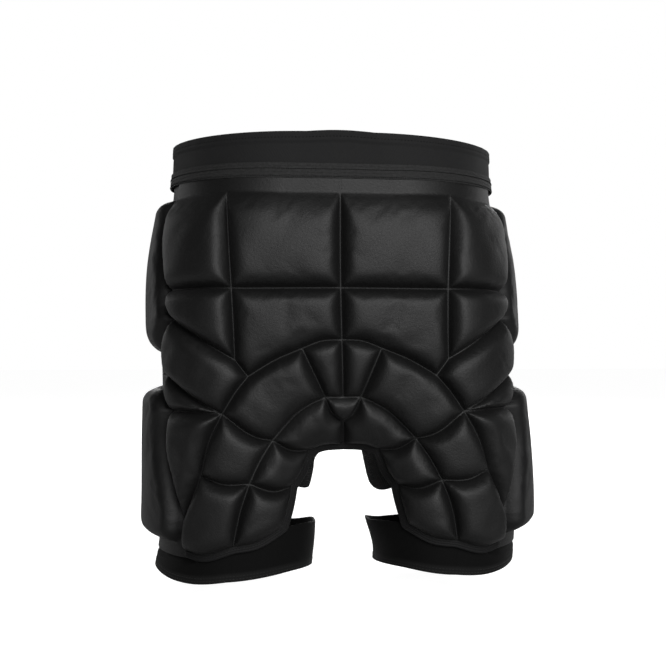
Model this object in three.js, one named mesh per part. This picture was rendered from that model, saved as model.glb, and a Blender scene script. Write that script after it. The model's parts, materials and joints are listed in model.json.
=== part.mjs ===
// Padded hip and thigh protection shorts, held open in the form they have when worn.
// Millimetres, +Z up. The wearer faces -Y, and the middle of the waistband is the origin.
// Every piece lies on one body surface, which is cut across at each height by a closed curve.
import * as THREE from "three";

// The body surface.
const HALF_WIDTH = 140;
const FRONT_DEPTH = 100;
const BACK_DEPTH = 112;
const TOP = 14;
const HEIGHT = 344;
const LEG_GAP_RIGHT = 20;
const LEG_GAP_LEFT = 23.5;
const LEG_FLARE_LEFT = 12;
const FLARE_START = -285;
const FLARE_FULL = -330;
const LEG_ROUNDNESS = 2.6;
const LEG_START = -235;
const LEG_FULL = -275;

// How the shorts stand a little askew, as they are worn: to one side, and one side lower.
const TILT_AT_WAIST = -0.013;
const TILT_AT_HEM = 0.02;
const SWAY = [
  { down: 0, by: -1.2 },
  { down: 0.3, by: -1.6 },
  { down: 0.55, by: 0.6 },
  { down: 0.8, by: 3.9 },
  { down: 0.92, by: 3.4 },
  { down: 1, by: 0.4 },
];

// Heights over the body surface.
const GAP = 0.4;
const UNDER_LOW = -1;
const UNDER_HIGH = 1;
const OVER_LOW = 2;
const GROOVE_HEIGHT = 3.4;
const BLOCK_HEIGHT = 16;
const BLOCK_FULL_SIZE = 13;
const HIP_HEIGHT = 13.5;
const THIGH_HEIGHT = 17;

// The waist.
const WAIST_LOW = -18.6;
const WAIST_THICKNESS = 2.6;
const WAIST_SIDE_DROP = 3.2;
const TAPE_HIGH = -11.5;
const TAPE_LOW = -22.8;
const TAPE_THICKNESS = 1.4;
const YOKE_TOP = -19;

// Pads.
const PANEL_ROUNDING = 150;
const SIDE_ROUNDING = 78;
const FRONT_STEP = 11.5;
const BACK_STEP = 17;
const SIDE_STEP = 20;
const ROUND_STEPS = 48;
const BAND_STEPS = 40;
const TUCK = 6;
const SIDE_FLANGE = 10.5;
const SIDE_NOMINAL = 150;
const HIP_TOP = -23;
const HIP_BOTTOM = -171;
const HIP_LOW_REACH = 1.6;
const THIGH_LOW_REACH = 1.15;
const THIGH_TOP = -171.5;
const THIGH_BOTTOM = -309.6;

// Bindings and leg bands.
const BINDING_WIDTH = 5;
const BINDING_THICKNESS = 2;
const GUSSET_HALF = 0.8;
const GUSSET_TUCK = 6;
const GUSSET_ACROSS = 7;
const GUSSET_ARC = 5;
const CROTCH_LOW = -231.5;
const WING_LOW_RIGHT = -262;
const WING_LOW_LEFT = -266;

// How closely the blocks are cut into triangles.
const MERGE = 3;
const UNDER_INSET = 8;
const SMALL_BLOCK = 11;

// The body at shares of its height: half width, where the thigh crest lies in that half width,
// then depths of the crest and of the middle, in front and behind.
const BODY = [
  { down: 0.0, wide: 0.91, crest: 0.2, front: 0.96, valley: 0.96, back: 0.86, cleft: 0.86 },
  { down: 0.14, wide: 0.928, crest: 0.34, front: 0.96, valley: 0.97, back: 0.9, cleft: 0.9 },
  { down: 0.3, wide: 0.985, crest: 0.5, front: 0.96, valley: 0.98, back: 0.98, cleft: 0.97 },
  { down: 0.45, wide: 1.0, crest: 0.58, front: 0.95, valley: 0.97, back: 1.04, cleft: 0.99 },
  { down: 0.58, wide: 1.005, crest: 0.6, front: 0.93, valley: 0.9, back: 1.02, cleft: 0.92 },
  { down: 0.7, wide: 1.02, crest: 0.6, front: 0.9, valley: 0.7, back: 0.9, cleft: 0.7 },
  { down: 0.86, wide: 1.035, crest: 0.6, front: 0.86, valley: 0.52, back: 0.8, cleft: 0.5 },
  { down: 1.0, wide: 1.05, crest: 0.6, front: 0.84, valley: 0.5, back: 0.76, cleft: 0.48 },
];

// Where grooves of the front panel meet, for one half: distance from the centre line, and height.
const FRONT_NODES = {
  yoke_centre: { x: 0, z: YOKE_TOP },
  yoke_edge: { x: 120, z: YOKE_TOP },
  top_centre: { x: 0, z: -31 },
  top_side: { x: 83, z: -30.5 },
  top_edge: { x: 122, z: -32.5 },
  row_centre: { x: 0, z: -105 },
  row_side: { x: 81, z: -105.5 },
  row_edge: { x: 124.9, z: -106.4 },
  diagonal_edge: { x: 123.2, z: -128 },
  side_end: { x: 80.7, z: -158.6 },
  arch_centre: { x: 0, z: -143.5 },
  fan_top: { x: 29.9, z: -150 },
  arch_knee: { x: 71.3, z: -171 },
  low_edge: { x: 128.6, z: -169.8 },
  flat_edge: { x: 126, z: -198 },
  hip_joint: { x: 90.8, z: -198.7 },
  centre_foot: { x: 0, z: -186 },
  fan_foot: { x: 13.7, z: -186 },
  shield_tip: { x: 0, z: -204 },
  thigh_joint: { x: 55.9, z: -218.8 },
  crotch_centre: { x: 0, z: -222.6 },
  inner_high: { x: 27.5, z: -227.5 },
  inner_low: { x: 43.5, z: -256 },
  knee_joint: { x: 74.2, z: -251.8 },
  leaf_side: { x: 107.2, z: -244.8 },
  leaf_tip: { x: 119.8, z: -281.4 },
  hem_outer: { x: 119.8, z: -303 },
  hem_middle: { x: 85.8, z: -299.5 },
  hem_inner: { x: 50.5, z: -286.5 },
};

// Grooves that bend, by the points that they pass through.
const FRONT_BENDS = [
  { from: "top_edge", to: "row_edge", through: [[125.6, -52], [127.1, -76]] },
  { from: "row_edge", to: "diagonal_edge", through: [[125.7, -117]] },
  { from: "diagonal_edge", to: "low_edge", through: [[128.6, -148]] },
  { from: "low_edge", to: "flat_edge", through: [[129.3, -184]] },
  { from: "flat_edge", to: "leaf_tip", through: [[128, -228], [123.7, -256], [121, -270]] },
  { from: "arch_centre", to: "fan_top", through: [[15, -144.5]] },
  { from: "fan_top", to: "arch_knee", through: [[51, -159]] },
  { from: "arch_knee", to: "hip_joint", through: [[82, -184]] },
  { from: "low_edge", to: "hip_joint", through: [[110, -187]] },
  { from: "hip_joint", to: "leaf_side", through: [[101, -220.6]] },
  { from: "leaf_side", to: "leaf_tip", through: [[113.2, -261], [116.5, -271]] },
  { from: "hip_joint", to: "thigh_joint", through: [[84, -205], [75, -212.5], [66, -217]] },
  { from: "fan_foot", to: "thigh_joint", through: [[25, -191], [36, -198], [47, -209]] },
  { from: "thigh_joint", to: "knee_joint", through: [[66.8, -236]] },
  { from: "thigh_joint", to: "inner_high", through: [[42.5, -227]] },
  { from: "knee_joint", to: "leaf_side", through: [[92.8, -251.5]] },
  { from: "knee_joint", to: "inner_low", through: [[56.6, -259]] },
  { from: "knee_joint", to: "hem_middle", through: [[81.4, -275]] },
  { from: "hem_outer", to: "hem_middle", through: [[105, -305.5]] },
  { from: "hem_middle", to: "hem_inner", through: [[68, -296.5]] },
  { from: "inner_high", to: "inner_low", through: [[35, -243]] },
  { from: "inner_low", to: "hem_inner", through: [[46.5, -271]] },
  { from: "crotch_centre", to: "inner_high", through: [[17, -223.8]] },
  { from: "fan_foot", to: "shield_tip", through: [[9, -197]] },
];

// The blocks of one half of the front panel, by their corners.
const FRONT_BLOCKS = [
  ["top_centre", "top_side", "row_side", "row_centre"],
  ["top_side", "top_edge", "row_edge", "row_side"],
  ["row_centre", "row_side", "side_end", "arch_knee", "fan_top", "arch_centre"],
  ["row_side", "row_edge", "diagonal_edge", "side_end"],
  ["diagonal_edge", "low_edge", "hip_joint", "arch_knee", "side_end"],
  ["low_edge", "flat_edge", "hip_joint"],
  ["flat_edge", "leaf_tip", "leaf_side", "hip_joint"],
  ["hip_joint", "leaf_side", "knee_joint", "thigh_joint"],
  ["fan_top", "arch_knee", "hip_joint", "thigh_joint", "fan_foot"],
  ["arch_centre", "fan_top", "fan_foot", "centre_foot"],
  ["fan_foot", "thigh_joint", "inner_high", "crotch_centre", "shield_tip"],
  ["thigh_joint", "knee_joint", "inner_low", "inner_high"],
  ["leaf_side", "leaf_tip", "hem_outer", "hem_middle", "knee_joint"],
  ["knee_joint", "hem_middle", "hem_inner", "inner_low"],
];
const FRONT_SHIELD = ["fan_foot", "centre_foot", "-fan_foot", "shield_tip"];
const FRONT_YOKE = ["yoke_centre", "yoke_edge", "top_edge", "top_side", "top_centre"];
const FRONT_RIM = ["top_edge", "row_edge", "diagonal_edge", "low_edge", "flat_edge", "leaf_tip", "hem_outer"];
const FRONT_HEM = ["hem_outer", "hem_middle", "hem_inner", "inner_low", "inner_high", "crotch_centre"];

// The back panel, which the photograph doesn't show: plain rows of blocks.
const BACK_NODES = {
  yoke_centre: { x: 0, z: YOKE_TOP },
  yoke_edge: { x: 114, z: YOKE_TOP },
  top_centre: { x: 0, z: -31 },
  top_side: { x: 66, z: -31 },
  top_edge: { x: 115, z: -33 },
  row_centre: { x: 0, z: -102 },
  row_side: { x: 68, z: -104 },
  row_edge: { x: 121, z: -106 },
  low_centre: { x: 0, z: -172 },
  low_side: { x: 72, z: -174 },
  low_edge: { x: 124, z: -170 },
  crotch_centre: { x: 0, z: -229 },
  inner_high: { x: 30, z: -236 },
  thigh_side: { x: 82, z: -236 },
  thigh_edge: { x: 124, z: -236 },
  inner_low: { x: 55, z: -262 },
  hem_inner: { x: 73, z: -308 },
  hem_outer: { x: 117, z: -313 },
};
const BACK_BENDS = [
  { from: "top_edge", to: "row_edge", through: [[121, -70]] },
  { from: "row_edge", to: "low_edge", through: [[125.5, -140]] },
  { from: "low_edge", to: "thigh_edge", through: [[127, -204]] },
  { from: "thigh_edge", to: "hem_outer", through: [[123, -275]] },
  { from: "hem_outer", to: "hem_inner", through: [[95, -314]] },
  { from: "inner_low", to: "hem_inner", through: [[69, -283]] },
  { from: "inner_high", to: "inner_low", through: [[43, -247]] },
  { from: "crotch_centre", to: "inner_high", through: [[17, -230.5]] },
];
const BACK_BLOCKS = [
  ["top_centre", "top_side", "row_side", "row_centre"],
  ["top_side", "top_edge", "row_edge", "row_side"],
  ["row_centre", "row_side", "low_side", "low_centre"],
  ["row_side", "row_edge", "low_edge", "low_side"],
  ["low_centre", "low_side", "thigh_side", "inner_high", "crotch_centre"],
  ["low_side", "low_edge", "thigh_edge", "thigh_side"],
  ["thigh_side", "thigh_edge", "hem_outer", "hem_inner", "inner_low", "inner_high"],
];
const BACK_YOKE = ["yoke_centre", "yoke_edge", "top_edge", "top_side", "top_centre"];
const BACK_RIM = ["top_edge", "row_edge", "low_edge", "thigh_edge", "hem_outer"];
const BACK_HEM = ["hem_outer", "hem_inner", "inner_low", "inner_high", "crotch_centre"];

// How a block rises from its groove: how far in, and the share of its height that it has there.
const BLOCK_PROFILE = [
  { inset: 3.2, within: 0.36, rise: 0.7 },
  { inset: 8, within: 0.6, rise: 0.93 },
  { inset: 17, within: 0.75, rise: 1 },
];
const UNDER_PROFILE = [{ inset: UNDER_INSET, within: 0.6, rise: 0 }];
const SIDE_PROFILE = [
  { inset: 0, rise: 0 },
  { inset: SIDE_FLANGE, rise: 0 },
  { inset: SIDE_FLANGE + 3, rise: 0.66 },
  { inset: SIDE_FLANGE + 11, rise: 1 },
];

// The leg band round the thigh: angle from the front crest by way of the outer side, and its edges.
const BAND = [
  { angle: 0, high: -292, low: -327 },
  { angle: 15, high: -293, low: -328.5 },
  { angle: 26, high: -310.4, low: -329 },
  { angle: 40, high: -310.4, low: -328.5 },
  { angle: 90, high: -310.4, low: -326 },
  { angle: 145, high: -310.4, low: -340 },
  { angle: 157, high: -310.4, low: -344 },
  { angle: 168, high: -306, low: -346 },
  { angle: 180, high: -305, low: -346 },
  { angle: 225, high: -303, low: -344 },
  { angle: 270, high: -293, low: -329 },
  { angle: 315, high: -287, low: -323 },
  { angle: 360, high: -292, low: -327 },
];

// Looks.
const CLOTH = { color: 0x26272a, roughness: 0.62, metalness: 0 };
const SIDE_CLOTH = { color: 0x1c1d20, roughness: 0.66, metalness: 0 };
const ELASTIC = { color: 0x1b1c1e, roughness: 0.85, metalness: 0 };
const NETTING = { color: 0x1f2023, roughness: 0.92, metalness: 0 };
const TAPE = { color: 0x232428, roughness: 0.78, metalness: 0 };

function clamp(value, low, high) {
  return Math.min(high, Math.max(low, value));
}

function ease(value) {
  const t = clamp(value, 0, 1);
  return t * t * (3 - 2 * t);
}

function mix(a, b, t) {
  return a + (b - a) * t;
}

// A smooth curve through table rows, of the column key against the column along.
function through(rows, along, key, value) {
  const last = rows.length - 1;
  const at = clamp(value, rows[0][along], rows[last][along]);
  let i = 0;
  while (i < last - 1 && rows[i + 1][along] < at) i += 1;
  const slope = (k) => {
    const a = rows[Math.max(0, k - 1)];
    const b = rows[Math.min(last, k + 1)];
    return (b[key] - a[key]) / (b[along] - a[along]);
  };
  const span = rows[i + 1][along] - rows[i][along];
  const t = (at - rows[i][along]) / span;
  const t2 = t * t;
  const t3 = t2 * t;
  const start = (2 * t3 - 3 * t2 + 1) * rows[i][key] + (t3 - 2 * t2 + t) * span * slope(i);
  const end = (3 * t2 - 2 * t3) * rows[i + 1][key] + (t3 - t2) * span * slope(i + 1);
  return start + end;
}

function bodyAt(z) {
  const down = (TOP - z) / HEIGHT;
  const read = (key) => through(BODY, "down", key, down);
  const wide = read("wide") * HALF_WIDTH;
  return {
    wide,
    crest: read("crest") * wide,
    front: read("front") * FRONT_DEPTH,
    valley: read("valley") * FRONT_DEPTH,
    back: read("back") * BACK_DEPTH,
    cleft: read("cleft") * BACK_DEPTH,
  };
}

// Half the gap between the thighs, which opens a little at the hem of the left one.
function gapAt(sign, z) {
  if (sign < 0) return LEG_GAP_RIGHT;
  return LEG_GAP_LEFT + LEG_FLARE_LEFT * ease((FLARE_START - z) / (FLARE_START - FLARE_FULL));
}

// Depth of the body surface at x and z, in front (facing -1) or behind (facing +1).
function depthAt(x, z, facing) {
  const body = bodyAt(z);
  const away = Math.abs(x);
  const deep = facing < 0 ? body.front : body.back;
  const middle = facing < 0 ? body.valley : body.cleft;
  if (away > body.crest) {
    const across = clamp((away - body.crest) / (body.wide - body.crest), 0, 1);
    return facing * deep * Math.sqrt(1 - across * across);
  }
  const trunk = middle + (deep - middle) * (1 - Math.cos((Math.PI * away) / body.crest)) / 2;
  const gap = gapAt(Math.sign(x) || 1, z);
  const inward = clamp((body.crest - away) / (body.crest - gap), 0, 1);
  const leg = deep * (1 - inward ** LEG_ROUNDNESS) ** (1 / LEG_ROUNDNESS);
  return facing * mix(trunk, leg, ease((LEG_START - z) / (LEG_START - LEG_FULL)));
}

function asWorn(p) {
  const down = clamp((TOP - p.z) / HEIGHT, 0, 1.1);
  const tilt = mix(TILT_AT_WAIST, TILT_AT_HEM, down);
  return new THREE.Vector3(p.x + through(SWAY, "down", "by", down), p.y, p.z + tilt * p.x);
}

// A place over a surface: surface(u, v) is the point on it, and out the height over it.
function lifted(surface, u, v, out) {
  const here = surface(u, v);
  const alongU = surface(u + 0.5, v).sub(surface(u - 0.5, v));
  const alongV = surface(u, v + 0.5).sub(surface(u, v - 0.5));
  return here.addScaledVector(alongU.cross(alongV).normalize(), out);
}

function frontSurface(u, v) {
  const x = PANEL_ROUNDING * Math.sin(u / PANEL_ROUNDING);
  return new THREE.Vector3(x, depthAt(x, v, -1), v);
}

function backSurface(u, v) {
  const x = -PANEL_ROUNDING * Math.sin(u / PANEL_ROUNDING);
  return new THREE.Vector3(x, depthAt(x, v, 1), v);
}

// The outer side of the body: u runs round it from the front crest, and is negative for -X.
function sideSurface(sign) {
  return (u, v) => {
    const body = bodyAt(v);
    const turn = (sign * u) / SIDE_ROUNDING;
    const deep = Math.cos(turn) > 0 ? body.front : body.back;
    const x = sign * (body.crest + (body.wide - body.crest) * Math.sin(turn));
    return new THREE.Vector3(x, -deep * Math.cos(turn), v);
  };
}

// Once round the thigh at a height, from the front crest by way of the outer side.
function legPoint(sign, degrees, z) {
  const body = bodyAt(z);
  const turn = THREE.MathUtils.degToRad(degrees);
  const s = Math.sin(turn);
  const c = Math.cos(turn);
  const deep = c > 0 ? body.front : body.back;
  if (s >= 0) {
    return new THREE.Vector3(sign * (body.crest + (body.wide - body.crest) * s), -deep * c, z);
  }
  const gap = gapAt(sign, z);
  const power = 2 / LEG_ROUNDNESS;
  const x = body.crest - (body.crest - gap) * Math.abs(s) ** power;
  return new THREE.Vector3(sign * x, -deep * Math.sign(c) * Math.abs(c) ** power, z);
}

// Once round the trunk at a height: share 0 is the front centre, 0.5 the back centre.
function trunkPoint(share, z) {
  const sign = share <= 0.5 ? 1 : -1;
  const half = share <= 0.5 ? share * 2 : (1 - share) * 2;
  const body = bodyAt(z);
  const flat = 0.22;
  if (half < flat) {
    const x = (sign * body.crest * half) / flat;
    return new THREE.Vector3(x, depthAt(x, z, -1), z);
  }
  if (half > 1 - flat) {
    const x = (sign * body.crest * (1 - half)) / flat;
    return new THREE.Vector3(x, depthAt(x, z, 1), z);
  }
  const turn = (Math.PI * (half - flat)) / (1 - 2 * flat);
  const deep = turn < Math.PI / 2 ? body.front : body.back;
  const x = sign * (body.crest + (body.wide - body.crest) * Math.sin(turn));
  return new THREE.Vector3(x, -deep * Math.cos(turn), z);
}

// Flat working coordinates: u follows the panel's curve, v is the height.
function unrolled(x) {
  return PANEL_ROUNDING * Math.asin(x / PANEL_ROUNDING);
}

function nodePlace(nodes, name, sign) {
  const other = name.startsWith("-");
  const node = nodes[other ? name.slice(1) : name];
  return [unrolled(node.x) * (other ? -sign : sign), node.z];
}

// A smooth run through a few flat points, cut into short steps.
function smoothRun(points, stride) {
  const curve = new THREE.CatmullRomCurve3(points.map(([u, v]) => new THREE.Vector3(u, v, 0)));
  const steps = Math.max(1, Math.round(curve.getLength() / stride));
  return curve.getSpacedPoints(steps).map((p) => [p.x, p.y]);
}

// The run from one node to the next, the same points whichever way it is asked for.
function runBetween(nodes, bends, from, to, sign) {
  const plain = (name) => name.replace("-", "");
  const bend = bends.find((b) => {
    const same = b.from === plain(from) && b.to === plain(to);
    return same || (b.to === plain(from) && b.from === plain(to));
  });
  const turned = bend ? bend.from !== plain(from) : plain(from) > plain(to);
  const [start, end] = turned ? [to, from] : [from, to];
  const side = from.startsWith("-") || to.startsWith("-") ? -sign : sign;
  const middle = bend ? bend.through.map(([x, z]) => [unrolled(x) * side, z]) : [];
  const points = [nodePlace(nodes, start, sign), ...middle, nodePlace(nodes, end, sign)];
  const run = smoothRun(points, nodes === FRONT_NODES ? FRONT_STEP : BACK_STEP);
  return turned ? run.reverse() : run;
}

function chain(nodes, bends, names, sign) {
  const points = [];
  for (let i = 0; i + 1 < names.length; i += 1) {
    const run = runBetween(nodes, bends, names[i], names[i + 1], sign);
    points.push(...run.slice(0, -1));
  }
  points.push(nodePlace(nodes, names[names.length - 1], sign));
  return points;
}

function areaOf(loop) {
  let sum = 0;
  loop.forEach(([x, y], i) => {
    const [nx, ny] = loop[(i + 1) % loop.length];
    sum += x * ny - nx * y;
  });
  return sum / 2;
}

// A closed outline that runs anticlockwise.
function outlineOf(nodes, bends, names, sign) {
  const loop = chain(nodes, bends, [...names, names[0]], sign).slice(0, -1);
  return areaOf(loop) < 0 ? loop.reverse() : loop;
}

function nearest(point, loop) {
  let best = { distance: Infinity, at: point };
  loop.forEach(([ax, ay], i) => {
    const [bx, by] = loop[(i + 1) % loop.length];
    const dx = bx - ax;
    const dy = by - ay;
    const along = ((point[0] - ax) * dx + (point[1] - ay) * dy) / (dx * dx + dy * dy || 1);
    const t = clamp(along, 0, 1);
    const at = [ax + dx * t, ay + dy * t];
    const distance = Math.hypot(point[0] - at[0], point[1] - at[1]);
    if (distance < best.distance) best = { distance, at };
  });
  return best;
}

// Walks a point inwards, always away from the nearest edge, until it is deep enough.
function walkIn(start, loop, depth) {
  let point = start;
  const step = 0.25;
  for (let i = 0; i < 900; i += 1) {
    const { distance, at } = nearest(point, loop);
    if (distance >= depth) return point;
    const move = Math.min(step, 0.5 * distance, depth - distance + 0.01) / Math.max(distance, 1e-6);
    point = [point[0] + (point[0] - at[0]) * move, point[1] + (point[1] - at[1]) * move];
  }
  return point;
}

function firstInside(loop, i) {
  const before = loop[(i + loop.length - 1) % loop.length];
  const here = loop[i];
  const after = loop[(i + 1) % loop.length];
  const normal = ([ax, ay], [bx, by]) => {
    const long = Math.hypot(bx - ax, by - ay);
    return [-(by - ay) / long, (bx - ax) / long];
  };
  const a = normal(before, here);
  const b = normal(here, after);
  const long = Math.hypot(a[0] + b[0], a[1] + b[1]) || 1;
  return [here[0] + (0.3 * (a[0] + b[0])) / long, here[1] + (0.3 * (a[1] + b[1])) / long];
}

function deepestIn(loop) {
  let most = 0;
  const us = loop.map((p) => p[0]);
  const vs = loop.map((p) => p[1]);
  const [u0, u1, v0, v1] = [Math.min(...us), Math.max(...us), Math.min(...vs), Math.max(...vs)];
  for (let i = 1; i < 16; i += 1) {
    for (let j = 1; j < 16; j += 1) {
      const point = [mix(u0, u1, i / 16), mix(v0, v1, j / 16)];
      if (!holds(loop, point)) continue;
      most = Math.max(most, nearest(point, loop).distance);
    }
  }
  return most;
}

function holds(loop, [x, y]) {
  let inside = false;
  loop.forEach(([ax, ay], i) => {
    const [bx, by] = loop[(i + 1) % loop.length];
    if (ay > y !== by > y && x < ax + ((bx - ax) * (y - ay)) / (by - ay)) inside = !inside;
  });
  return inside;
}

// Collects triangles over shared corners and hands them over as one closed geometry.
function mesher(place) {
  const spots = [];
  const faces = [];
  const known = new Map();
  const spot = (u, v, out) => {
    const key = [u, v, out].map((value) => Math.round(value * 1000)).join();
    if (!known.has(key)) {
      known.set(key, spots.length);
      spots.push(place(u, v, out));
    }
    return known.get(key);
  };
  const fresh = (u, v, out) => spots.push(place(u, v, out)) - 1;
  const face = (a, b, c) => {
    if (a !== b && b !== c && a !== c) faces.push(a, b, c);
  };
  const geometry = () => {
    const positions = new Float32Array(spots.length * 3);
    spots.forEach((p, i) => asWorn(p).toArray(positions, i * 3));
    return geometryOf(positions, faces);
  };
  return { spot, fresh, face, geometry };
}

function geometryOf(positions, faces) {
  const made = new THREE.BufferGeometry();
  made.setAttribute("position", new THREE.BufferAttribute(positions, 3));
  made.setIndex(faces);
  made.computeVertexNormals();
  return made;
}

// Twice the signed area of a flat triangle.
function turnOf([ax, ay], [bx, by], [cx, cy]) {
  return (bx - ax) * (cy - ay) - (by - ay) * (cx - ax);
}

// Fills an outline by cutting off its corners, each time the one with the shortest cut.
function fill(loop, spots, face) {
  const left = loop.map((_, i) => i);
  while (left.length > 3) {
    let best = { score: Infinity, k: 0 };
    left.forEach((i, k) => {
      const h = left[(k + left.length - 1) % left.length];
      const j = left[(k + 1) % left.length];
      const area = turnOf(loop[h], loop[i], loop[j]);
      const blocked = left.some((m) => {
        if (m === h || m === i || m === j) return false;
        const sides = [[h, i], [i, j], [j, h]].map(([a, b]) => turnOf(loop[a], loop[b], loop[m]));
        return Math.min(...sides) > -1e-9;
      });
      const cut = Math.hypot(loop[h][0] - loop[j][0], loop[h][1] - loop[j][1]);
      const score = cut + (area > 1e-6 ? 0 : 1e4) + (blocked ? 1e6 : 0);
      if (score < best.score) best = { score, k };
    });
    const { k } = best;
    const h = left[(k + left.length - 1) % left.length];
    const j = left[(k + 1) % left.length];
    face(spots[h], spots[left[k]], spots[j]);
    left.splice(k, 1);
  }
  face(spots[left[0]], spots[left[1]], spots[left[2]]);
}

// The rings of a block, each a walk further in than the one before; near points become one.
function ringsOf(loop, profile) {
  const deepest = deepestIn(loop);
  let ring = loop.map((_, i) => firstInside(loop, i));
  const used = profile.filter((_, i) => i < 2 || deepest > SMALL_BLOCK);
  return used.map(({ inset, within, rise }) => {
    const depth = Math.min(inset, within * deepest);
    ring = ring.map((point) => walkIn(point, loop, depth));
    const merged = [];
    ring.forEach((point, i) => {
      const last = merged[merged.length - 1];
      const close = i > 0 && Math.hypot(point[0] - last[0], point[1] - last[1]) < MERGE;
      merged.push(close ? last : point);
    });
    for (let i = 0; i < merged.length; i += 1) {
      const first = merged[0];
      const j = merged.length - 1 - i;
      if (Math.hypot(merged[j][0] - first[0], merged[j][1] - first[1]) >= MERGE) break;
      merged[j] = first;
    }
    ring = merged;
    return { points: merged, rise };
  });
}

// Raises rings over an outline and fills the last one; facing 1 looks out, -1 looks in.
function block(mesh, loop, profile, floor, height, facing) {
  const face = facing > 0 ? mesh.face : (a, b, c) => mesh.face(a, c, b);
  let outer = loop.map(([u, v]) => mesh.spot(u, v, floor));
  let last = loop;
  ringsOf(loop, profile).forEach(({ points, rise }) => {
    const high = mix(floor, height, rise);
    const made = new Map();
    points.forEach((point) => {
      if (!made.has(point)) made.set(point, mesh.fresh(point[0], point[1], high));
    });
    const inner = points.map((point) => made.get(point));
    loop.forEach((_, i) => {
      const next = (i + 1) % loop.length;
      face(outer[i], outer[next], inner[next]);
      face(outer[i], inner[next], inner[i]);
    });
    outer = inner;
    last = points;
  });
  const kept = outer.map((s, i) => i).filter((i) => outer[i] !== outer[(i + 1) % outer.length]);
  fill(kept.map((i) => last[i]), kept.map((i) => outer[i]), face);
}

// A padded sheet: blocks and flat parts on top, one smooth sheet below, and walls round its rim.
function paddedSheet(surface, parts, low) {
  const mesh = mesher((u, v, out) => lifted(surface, u, v, out));
  const edges = new Map();
  parts.forEach(({ loop, profile, floor, height }) => {
    const top = loop.map(([u, v]) => mesh.spot(u, v, floor));
    const under = loop.map(([u, v]) => mesh.spot(u, v, low));
    if (profile) block(mesh, loop, profile, floor, height, 1);
    else fill(loop, top, mesh.face);
    if (profile) block(mesh, loop, UNDER_PROFILE, low, low, -1);
    else fill(loop, under, (a, b, c) => mesh.face(a, c, b));
    loop.forEach((_, i) => {
      const j = (i + 1) % loop.length;
      edges.set(`${top[i]},${top[j]}`, [top[i], top[j], under[i], under[j]]);
    });
  });
  edges.forEach(([a, b, c, d], key) => {
    const [from, to] = key.split(",");
    if (edges.has(`${to},${from}`)) return;
    mesh.face(a, c, d);
    mesh.face(a, d, b);
  });
  return mesh.geometry();
}

// A sheet of even thickness over a grid of points, open at its ends or closed round.
function gridSheet(rows, low, high, round) {
  const count = rows[0].length;
  const outward = (r, c) => {
    const left = rows[r][round ? (c + count - 1) % count : Math.max(0, c - 1)];
    const right = rows[r][round ? (c + 1) % count : Math.min(count - 1, c + 1)];
    const down = rows[Math.max(0, r - 1)][c];
    const up = rows[Math.min(rows.length - 1, r + 1)][c];
    return right.clone().sub(left).cross(up.clone().sub(down)).normalize();
  };
  const mesh = mesher((r, c, out) => rows[r][c].clone().addScaledVector(outward(r, c), out));
  const quad = (a, b, c, d) => {
    mesh.face(a, b, c);
    mesh.face(a, c, d);
  };
  const wide = round ? count : count - 1;
  const tall = rows.length - 1;
  for (let r = 0; r < tall; r += 1) {
    for (let c = 0; c < wide; c += 1) {
      const n = (c + 1) % count;
      const corners = [[r, c], [r, n], [r + 1, n], [r + 1, c]];
      const top = corners.map(([i, j]) => mesh.spot(i, j, high));
      const under = corners.map(([i, j]) => mesh.spot(i, j, low));
      quad(top[0], top[1], top[2], top[3]);
      quad(under[3], under[2], under[1], under[0]);
      if (r === 0) quad(under[0], under[1], top[1], top[0]);
      if (r === tall - 1) quad(under[2], under[3], top[3], top[2]);
      if (!round && c === 0) quad(under[3], under[0], top[0], top[3]);
      if (!round && c === wide - 1) quad(under[1], under[2], top[2], top[1]);
    }
  }
  return mesh.geometry();
}

function blockHeight(loop) {
  return mix(GROOVE_HEIGHT, BLOCK_HEIGHT, Math.min(1, 0.35 + (0.65 * deepestIn(loop)) / BLOCK_FULL_SIZE));
}

// A whole moulded panel: the blocks of both halves, what crosses the middle, and the flat yoke.
function panelParts(nodes, bends, blocks, yoke, crossing) {
  const parts = [];
  [1, -1].forEach((sign) => {
    blocks.forEach((names) => {
      const loop = outlineOf(nodes, bends, names, sign);
      parts.push({ loop, profile: BLOCK_PROFILE, floor: GROOVE_HEIGHT, height: blockHeight(loop) });
    });
    parts.push({ loop: outlineOf(nodes, bends, yoke, sign), floor: GROOVE_HEIGHT });
  });
  crossing.forEach((names) => {
    const loop = outlineOf(nodes, bends, names, 1);
    parts.push({ loop, profile: BLOCK_PROFILE, floor: GROOVE_HEIGHT, height: blockHeight(loop) });
  });
  return parts;
}

function frontPad() {
  const parts = panelParts(FRONT_NODES, FRONT_BENDS, FRONT_BLOCKS, FRONT_YOKE, [FRONT_SHIELD]);
  return paddedSheet(frontSurface, parts, OVER_LOW);
}

function backPad() {
  const parts = panelParts(BACK_NODES, BACK_BENDS, BACK_BLOCKS, BACK_YOKE, []);
  return paddedSheet(backSurface, parts, OVER_LOW);
}

// How far round the side a panel's rim lies at a height, as an angle from the crest.
function rimAngle(nodes, bends, rim, z) {
  const run = chain(nodes, bends, rim, 1);
  const rows = run.map(([u, v]) => ({ down: -v, u }));
  const u = through(rows, "down", "u", -z);
  const x = PANEL_ROUNDING * Math.sin(u / PANEL_ROUNDING);
  const body = bodyAt(z);
  return Math.asin(clamp((x - body.crest) / (body.wide - body.crest), 0, 0.995));
}

// Places across a side pad: close together over its edges, and evenly spread between them.
function padStations(long) {
  const near = SIDE_PROFILE.map((row) => row.inset);
  const edge = near[near.length - 1];
  const rest = long - 2 * edge;
  const count = Math.max(1, Math.round(rest / SIDE_STEP));
  const middle = Array.from({ length: count - 1 }, (_, i) => edge + (rest * (i + 1)) / count);
  return [...near, ...middle, ...near.map((inset) => long - inset).reverse()];
}

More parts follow.
